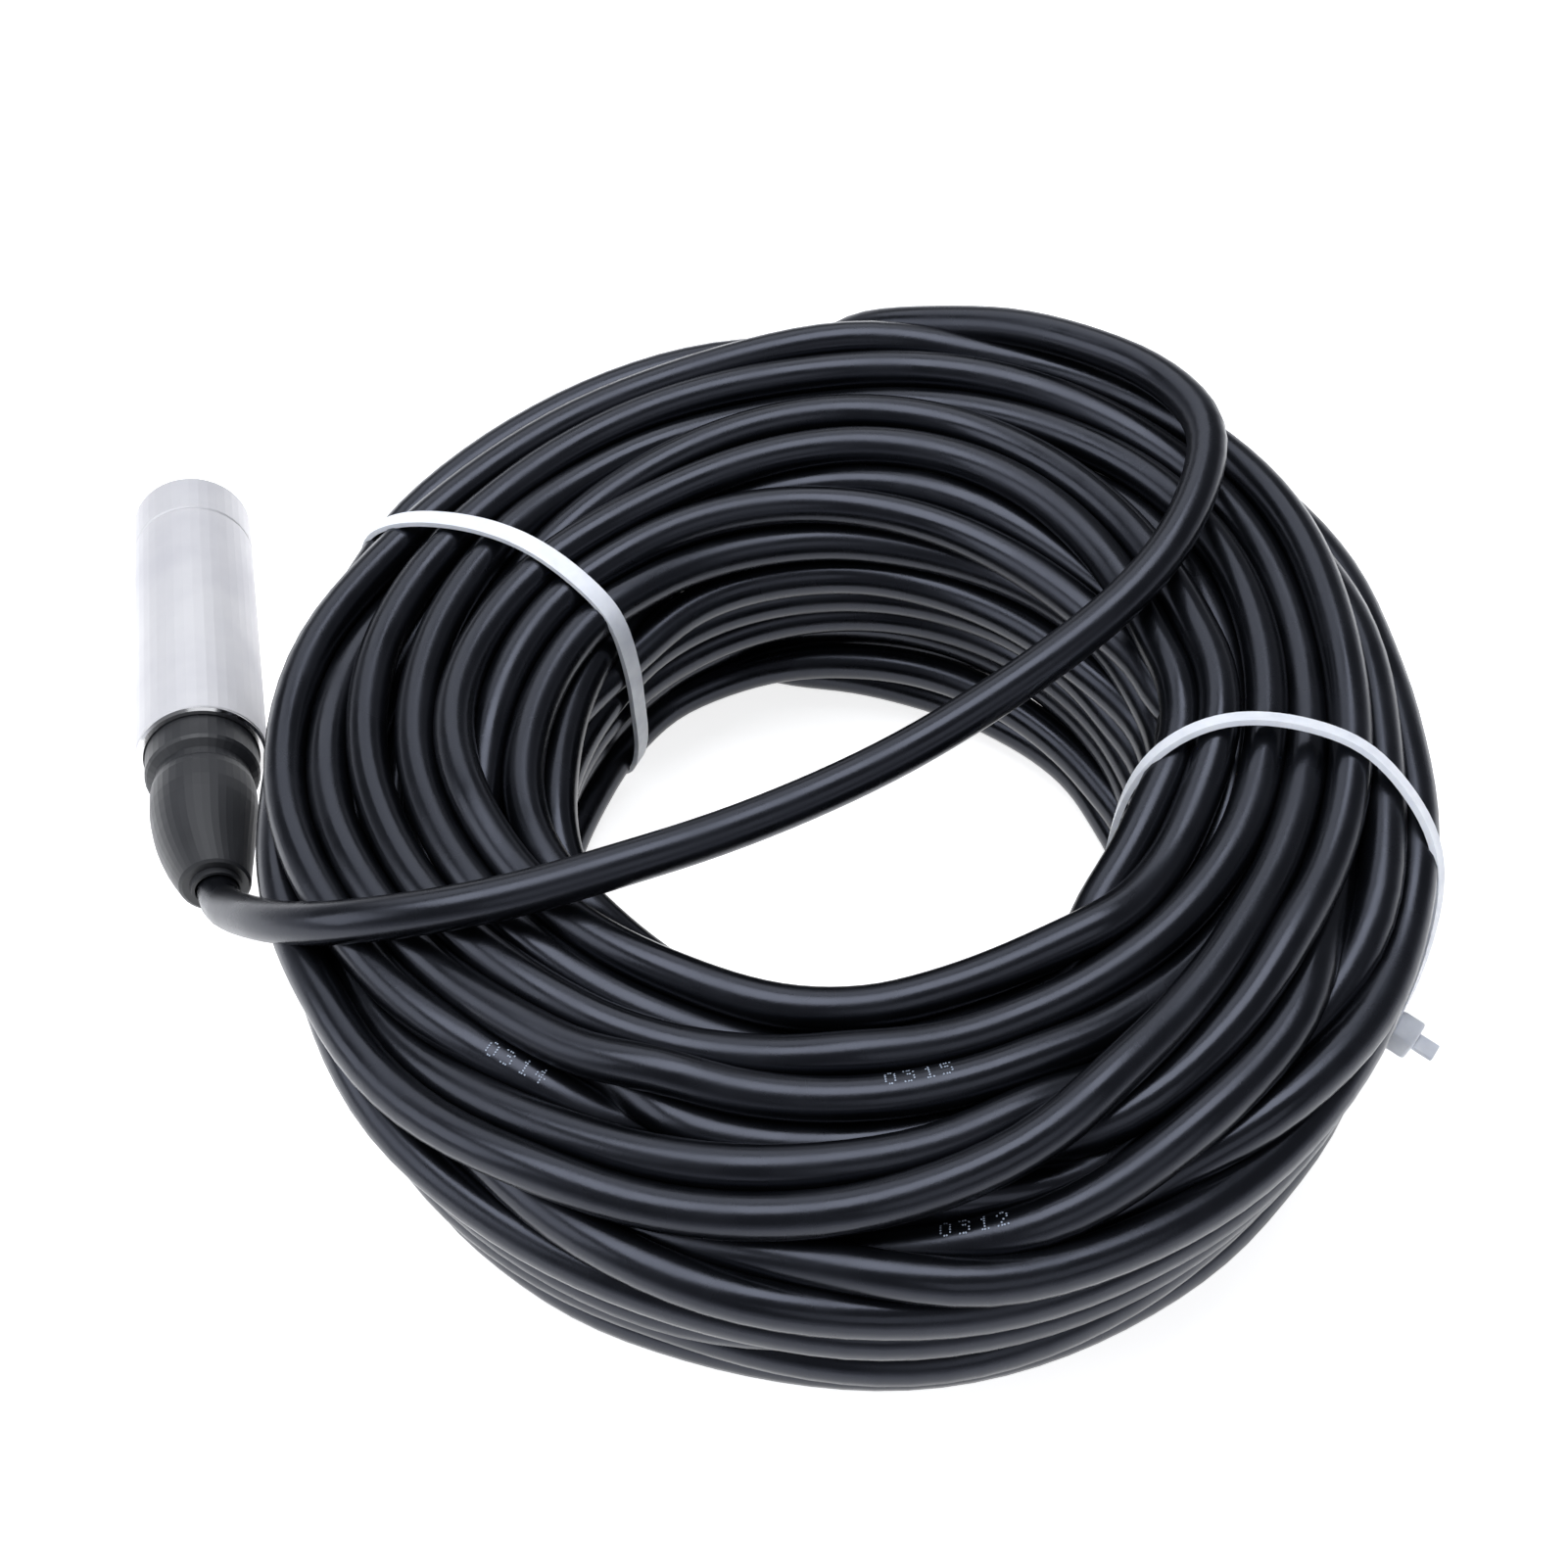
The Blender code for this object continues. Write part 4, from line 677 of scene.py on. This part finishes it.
    def line(self) -> np.ndarray:
        """Centreline of the whole cable in metres.

        Returns:
            Rows of x, y and z from the boot's mouth to the bare end.
        """
        spot = self.spots = self.wind()
        columns = spot.shape[1]
        angles = np.radians(self.start + 360.0 * np.arange(columns) / columns)
        cos, sin = np.cos(angles), np.sin(angles)
        turns = np.stack([self.centre[0] + spot[..., 0] * cos, self.centre[1] + spot[..., 0] * sin, spot[..., 1]], 2)
        self.turn_points = turns
        last = int((self.tail_azimuth - self.start) / 360.0 * columns)
        body = np.concatenate([turns[i] if i < len(turns) - 1 else turns[i][:last] for i in range(len(turns))])
        heading = np.array(BOOT_HEADING) / np.linalg.norm(BOOT_HEADING)
        mouth = np.array(BOOT_MOUTH)
        lead = np.array([mouth, mouth + 4.0 * heading, *LEAD_ROUTE])
        tail = np.array([(self.centre[0] + r * math.cos(math.radians(a)),
                          self.centre[1] + r * math.sin(math.radians(a)), z) for a, r, z in TAIL_ROUTE])
        ends = natural_spline(np.concatenate([lead, body[4:40:6]]), self.spacing)
        join = int(np.argmin(np.linalg.norm(ends - body[22], axis=1)))
        out = natural_spline(np.concatenate([body[-24::4], tail]), self.spacing)
        leave = int(np.argmin(np.linalg.norm(out - body[-12], axis=1)))
        return np.concatenate([ends[:join], body[22:-12], out[leave:]]) * MM

    def section_at(self, azimuth: float) -> np.ndarray:
        """Centres of the strands as (radius, height) in millimetres at an azimuth in degrees."""
        columns = self.spots.shape[1]
        column = round((azimuth - self.start) / 360.0 * columns) % columns
        return self.spots[:, column]

    def build(self) -> None:
        line = self.line()
        data = bpy.data.curves.new("cable", "CURVE")
        data.dimensions, data.bevel_depth, data.bevel_resolution = "3D", self.diameter / 2 * MM, 6
        data.use_fill_caps = True
        spline = data.splines.new("POLY")
        spline.points.add(len(line) - 1)
        spline.points.foreach_set("co", np.concatenate([line, np.ones((len(line), 1))], 1).ravel())
        spline.use_smooth = True
        data.materials.append(CABLE_JACKET.build())
        cable = bpy.data.objects.new("cable", data)
        bpy.context.scene.collection.objects.link(cable)
        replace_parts(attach(cable, PROBE_BODY), "cable_lead", "cable_coil", "cable_tail")
        length = float(np.linalg.norm(np.diff(line, axis=0), axis=1).sum())
        log.info("cable: %.2f m long, %d points", length, len(line))


# ---------------- the ties

@dataclass
class Tie:
    """A nylon cable tie drawn round the strands, with its head and the cut end of its strap."""

    name: str
    node: str
    turning: tuple[tuple[float, float, float], ...]
    head_at: float
    width: float = 3.9
    thickness: float = 1.1
    middle: tuple[float, float] = (82.0, 33.0)
    steps: int = 144
    smoothings: int = 36
    clearance: float = 0.4
    bite: float = 0.1
    head_lift: float = 2.2
    head_size: tuple[float, float, float] = (6.0, 6.4, 4.8)
    stub_size: tuple[float, float, float] = (3.4, 1.2, 6.0)

    def path(self, coil: CableCoil) -> list[tuple[Vector, Vector]]:
        """Follow the outermost strands round the section.

        Args:
            coil: The wound cable.

        Returns:
            Points on the strap's middle line and its outward directions, in metres.
        """
        fans = np.radians(np.arange(0, 360, 2.0))
        rays = 2 * math.pi * np.arange(self.steps) / self.steps
        table = np.array(self.turning, dtype=float)
        reach, azimuths = [], []
        slack = np.interp(np.degrees(rays), table[:, 0], table[:, 2])
        for ray in rays:
            azimuth = float(np.interp(math.degrees(ray), table[:, 0], table[:, 1]))
            strands = np.concatenate([coil.section_at(azimuth + aside) for aside in (-3, 0, 3)])
            strands = strands - np.array(self.middle)
            support = (strands @ np.stack([np.cos(fans), np.sin(fans)])).max(axis=0)
            lean = np.cos(fans - ray)
            ahead = lean > 0.15
            proud = coil.diameter / 2 + self.thickness / 2 - self.bite
            reach.append(float(((support[ahead] + proud) / lean[ahead]).min()))
            azimuths.append(azimuth)
        hull = np.array(reach)
        reach, azimuths = hull + slack, np.array(azimuths)
        for step in range(self.smoothings):
            if step % 12 == 0:
                reach = np.maximum(reach, hull + self.clearance)
            reach = (np.roll(reach, 1) + 2 * reach + np.roll(reach, -1)) / 4
            azimuths = (np.roll(azimuths, 1) + 2 * azimuths + np.roll(azimuths, -1)) / 4
        points = []
        for ray, far, azimuth in zip(rays, reach, azimuths):
            turn = math.radians(azimuth)
            radius = self.middle[0] + far * math.cos(ray)
            level = max(self.middle[1] + far * math.sin(ray), self.thickness * 0.55)
            points.append(Vector((coil.centre[0] + radius * math.cos(turn),
                                  coil.centre[1] + radius * math.sin(turn), level)) * MM)
        middle = sum(points, Vector()) / len(points)
        outward = []
        for i, point in enumerate(points):
            along = (points[(i + 1) % len(points)] - points[i - 1]).normalized()
            away = point - middle
            outward.append((away - along * away.dot(along)).normalized())
        return list(zip(points, outward))

    def build(self, coil: CableCoil) -> None:
        """Make the strap and the head and stand them for the CAD tie."""
        path = self.path(coil)
        self._strap(path)
        self._head(path)

    def _strap(self, path: list[tuple[Vector, Vector]]) -> None:
        """Extrude the strap's path across its width and give it its thickness."""
        bm = bmesh.new()
        first = [bm.verts.new(point) for point, _ in path]
        ring = [bm.edges.new((first[i], first[(i + 1) % len(first)])) for i in range(len(first))]
        grown = bmesh.ops.extrude_edge_only(bm, edges=ring)["geom"]
        known = set(first)
        across = {}
        for vert in (g for g in grown if isinstance(g, bmesh.types.BMVert)):
            across[next(e.other_vert(vert) for e in vert.link_edges if e.other_vert(vert) in known)] = vert
        for i, (point, outward) in enumerate(path):
            along = (path[(i + 1) % len(path)][0] - path[i - 1][0]).normalized()
            side = along.cross(outward).normalized() * self.width * MM / 2
            first[i].co, across[first[i]].co = point - side, point + side
        bmesh.ops.recalc_face_normals(bm, faces=bm.faces)
        bmesh.ops.solidify(bm, geom=list(bm.faces), thickness=self.thickness * MM)
        strap = finish_mesh(self.name + "_strap", bm, WHITE_NYLON.build(), 50)
        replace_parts(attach(strap, PROBE_BODY), self.node)

    def _head(self, path: list[tuple[Vector, Vector]]) -> None:
        """Model the head as a chamfered block, and the cut end that stands out of it."""
        point, outward = path[int(self.head_at / 360 * self.steps) % self.steps]
        after = path[(int(self.head_at / 360 * self.steps) + 1) % self.steps][0]
        along = (after - point).normalized()
        side = along.cross(outward).normalized()
        frame_matrix = Matrix.Translation(point + outward * self.head_lift * MM) @ Matrix(
            ((side.x, along.x, outward.x, 0), (side.y, along.y, outward.y, 0), (side.z, along.z, outward.z, 0),
             (0, 0, 0, 1)))
        bm = bmesh.new()
        bmesh.ops.create_cube(bm, size=1.0, matrix=Matrix.Diagonal((*(side * MM for side in self.head_size), 1)))
        bmesh.ops.bevel(bm, geom=list(bm.edges), offset=0.7 * MM, segments=3, affect="EDGES", profile=0.5,
                        material=-1)
        end = bmesh.ops.create_cube(bm, size=1.0, matrix=Matrix.Translation((0, 0.4 * MM, 3.6 * MM))
                                    @ Matrix.Diagonal((*(side * MM for side in self.stub_size), 1)))
        corners = set(end["verts"])
        bmesh.ops.bevel(bm, geom=[e for e in bm.edges if corners.issuperset(e.verts)], offset=0.2 * MM, segments=2,
                        affect="EDGES", profile=0.5, material=-1)
        bm.transform(frame_matrix)
        head = finish_mesh(self.name + "_head", bm, WHITE_NYLON.build(), 40)
        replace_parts(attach(head, PROBE_BODY), self.node)


# Each turning row is the ray's angle in the section (0 outward, 90 up), the azimuth at which the strap passes there and
# how far it stands off the strands in mm.
TIES = (
    Tie("tie_left_new", "tie_left", head_at=320, turning=(
        (0, 134, 0), (20, 134.2, 0), (36, 134.2, 0), (50, 133.2, 0), (70, 130.8, 0), (90, 129.4, 0),
        (140, 129.8, 0.2), (156, 129.8, 0.4), (178, 128, 0.4), (220, 124, 0), (270, 126, 0), (320, 131, 0),
        (360, 134, 0))),
    Tie("tie_right_new", "tie_right", head_at=352, turning=(
        (0, -38, 1.2), (26, -35, 1), (45, -30, 0.6), (60, -24.8, 0.2), (80, -21, 0), (92, -19.2, 0),
        (106, -18, 0.3), (114, -18.4, 0.8), (120, -19.8, 1.2), (128, -23, 1.6), (140, -27.5, 1.6),
        (180, -34, 1), (230, -37, 0), (320, -36.5, 0), (345, -36, 1.2), (360, -38, 1.2))),
)


# ---------------- the rear rim's ring

@dataclass
class RimRing:
    """The bright turned ring that closes the housing round the boot."""

    profile: tuple[tuple[float, float], ...] = ((11.75, 0.03), (11.75, 0.35), (11.9, 0.55), (12.75, 0.55),
                                                (13.3, 0.15), (13.3, 0.03))
    steps: int = 120

    def build(self) -> None:
        """Spin the ring's section round the probe's axis, just behind the rim."""
        side = Vector((1.0, 0.0, 0.0))
        bm = bmesh.new()
        corners = [bm.verts.new(REAR_RIM + side * r * MM - TO_NOSE * back * MM) for r, back in self.profile]
        edges = [bm.edges.new((corners[i - 1], corners[i])) for i in range(len(corners))]
        bmesh.ops.spin(bm, geom=corners + edges, cent=REAR_RIM, axis=TO_NOSE, angle=2 * math.pi, steps=self.steps,
                       use_merge=True)
        ring = finish_mesh("rear_rim_ring", bm, TURNED_STEEL.build(), 30)
        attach(ring, PROBE_BODY)


# ---------------- the metre marks

# Each digit's dots, row by row from the top.
DIGITS: dict[str, tuple[str, ...]] = {
    "0": ("0110", "1001", "1001", "1001", "1001", "0110"),
    "1": ("0010", "0110", "0010", "0010", "0010", "0111"),
    "2": ("0110", "1001", "0001", "0010", "0100", "1111"),
    "3": ("1110", "0001", "0110", "0001", "0001", "1110"),
    "4": ("0010", "0110", "1010", "1111", "0010", "0010"),
    "5": ("1111", "1000", "1110", "0001", "0001", "1110"),
}


@dataclass
class MetreMark:
    """A plain metre number printed in small pale dots on one strand of the cable."""

    name: str
    number: str
    azimuth: float
    along: float
    turned: float
    pitch: float = 0.5
    advance: float = 3.2
    dot: float = 0.16
    thickness: float = 0.05
    lift: float = 0.015
    fineness: float = 0.2

    def build(self, coil: CableCoil) -> None:
        """Lay the dots on the strand that shows at the mark's place.

        Args:
            coil: The wound cable.
        """
        wanted = coil.place(self.azimuth, self.along, coil.diameter / 2)
        turn = int(np.argmin(np.linalg.norm(coil.section_at(self.azimuth) - wanted, axis=1)))
        columns = coil.turn_points.shape[1]
        column = round((self.azimuth - coil.start) / 360.0 * columns) % columns
        strand = coil.turn_points.reshape(-1, 3)[turn * columns + column - 8:turn * columns + column + 9]
        path = natural_spline(strand, self.fineness)
        eye = np.array(coil.camera)
        ink = PRINT_INK.build()
        bm = bmesh.new()
        wide = (len(self.number) - 1) * self.advance + 3 * self.pitch
        for place, digit in enumerate(self.number):
            for line, dots in enumerate(DIGITS[digit]):
                for step, printed in enumerate(dots):
                    if printed == "0":
                        continue
                    reach = place * self.advance + step * self.pitch - wide / 2
                    middle = len(path) // 2 + round(reach / self.fineness)
                    heading = path[middle + 1] - path[middle - 1]
                    heading /= np.linalg.norm(heading)
                    sight = eye - path[middle]
                    sight -= heading * (sight @ heading)
                    sight /= np.linalg.norm(sight)
                    up = np.cross(sight, heading)
                    turned = math.radians(self.turned) + (2.5 - line) * self.pitch / (coil.diameter / 2)
                    normal = sight * math.cos(turned) + up * math.sin(turned)
                    spot = path[middle] + normal * (coil.diameter / 2 + self.lift)
                    rotation = Vector(normal).to_track_quat("Z", "Y").to_matrix().to_4x4()
                    bmesh.ops.create_cone(bm, cap_ends=True, segments=10, radius1=self.dot * MM,
                                          radius2=self.dot * MM, depth=self.thickness * MM,
                                          matrix=Matrix.Translation(Vector(spot) * MM) @ rotation)
        mark = finish_mesh(self.name, bm, ink, 30)
        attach(mark, PROBE_BODY)


# Name, number, azimuth, place along the section and degrees turned round the strand from the line of sight.
MARKS = (
    MetreMark("metre_mark_1", "0314", -143.0, 6.5, 18.0),
    MetreMark("metre_mark_2", "0315", -96.0, -3.5, 48.0),
    MetreMark("metre_mark_3", "0312", -92.0, 20.0, 40.0),
)


# ---------------- dressing of the kept nodes

NODE_FINISHES: tuple[tuple[Finish, tuple[str, ...]], ...] = (
    (BLASTED_STEEL, ("housing_tube", "nose_cap")),
    (SEAL_RUBBER, ("cap_seal_ring", "cell_seal_ring", "gland_seal_ring", "cable_grommet")),
    (TURNED_STEEL, ("sensor_cell", "diaphragm", "cell_clamp_ring", "cell_vent_tube", "grommet_washer")),
    (BRASS, ("header_pin_1", "header_pin_2", "header_pin_3", "header_pin_4")),
    (BOARD_LAMINATE, ("circuit_board",)),
    (WHITE_NYLON, ("board_ring_front", "board_ring_rear")),
    (CHIP_EPOXY, ("amplifier_chip", "output_transistor", "surge_suppressor_1", "surge_suppressor_2")),
    (TANTALUM, ("capacitor",)),
    (NICKEL_PLATE, ("gland_body", "gland_nut")),
    (BOOT_RUBBER, ("strain_relief_boot",)),
    (CABLE_JACKET, ("cable_in_gland",)),
    (RED_INSULATION, ("conductor_red", "core_red")),
    (BLACK_INSULATION, ("conductor_black", "core_black")),
    (CLEAR_CAPILLARY, ("vent_capillary",)),
)


def dress_nodes() -> None:
    """Give every kept CAD node its finish."""
    for finish, names in NODE_FINISHES:
        material = finish.build()
        for name in names:
            node = bpy.data.objects[name]
            if not node.material_slots:
                node.data.materials.append(material)
            for slot in node.material_slots:
                slot.material = material


def main() -> None:
    """Build the studio and the pieces in order."""
    logging.basicConfig(level=logging.INFO, format="%(message)s")
    Studio().build()
    coil = CableCoil()
    coil.build()
    for tie in TIES:
        tie.build(coil)
    RimRing().build()
    for mark in MARKS:
        mark.build(coil)
    dress_nodes()


if __name__ == "__main__":
    main()
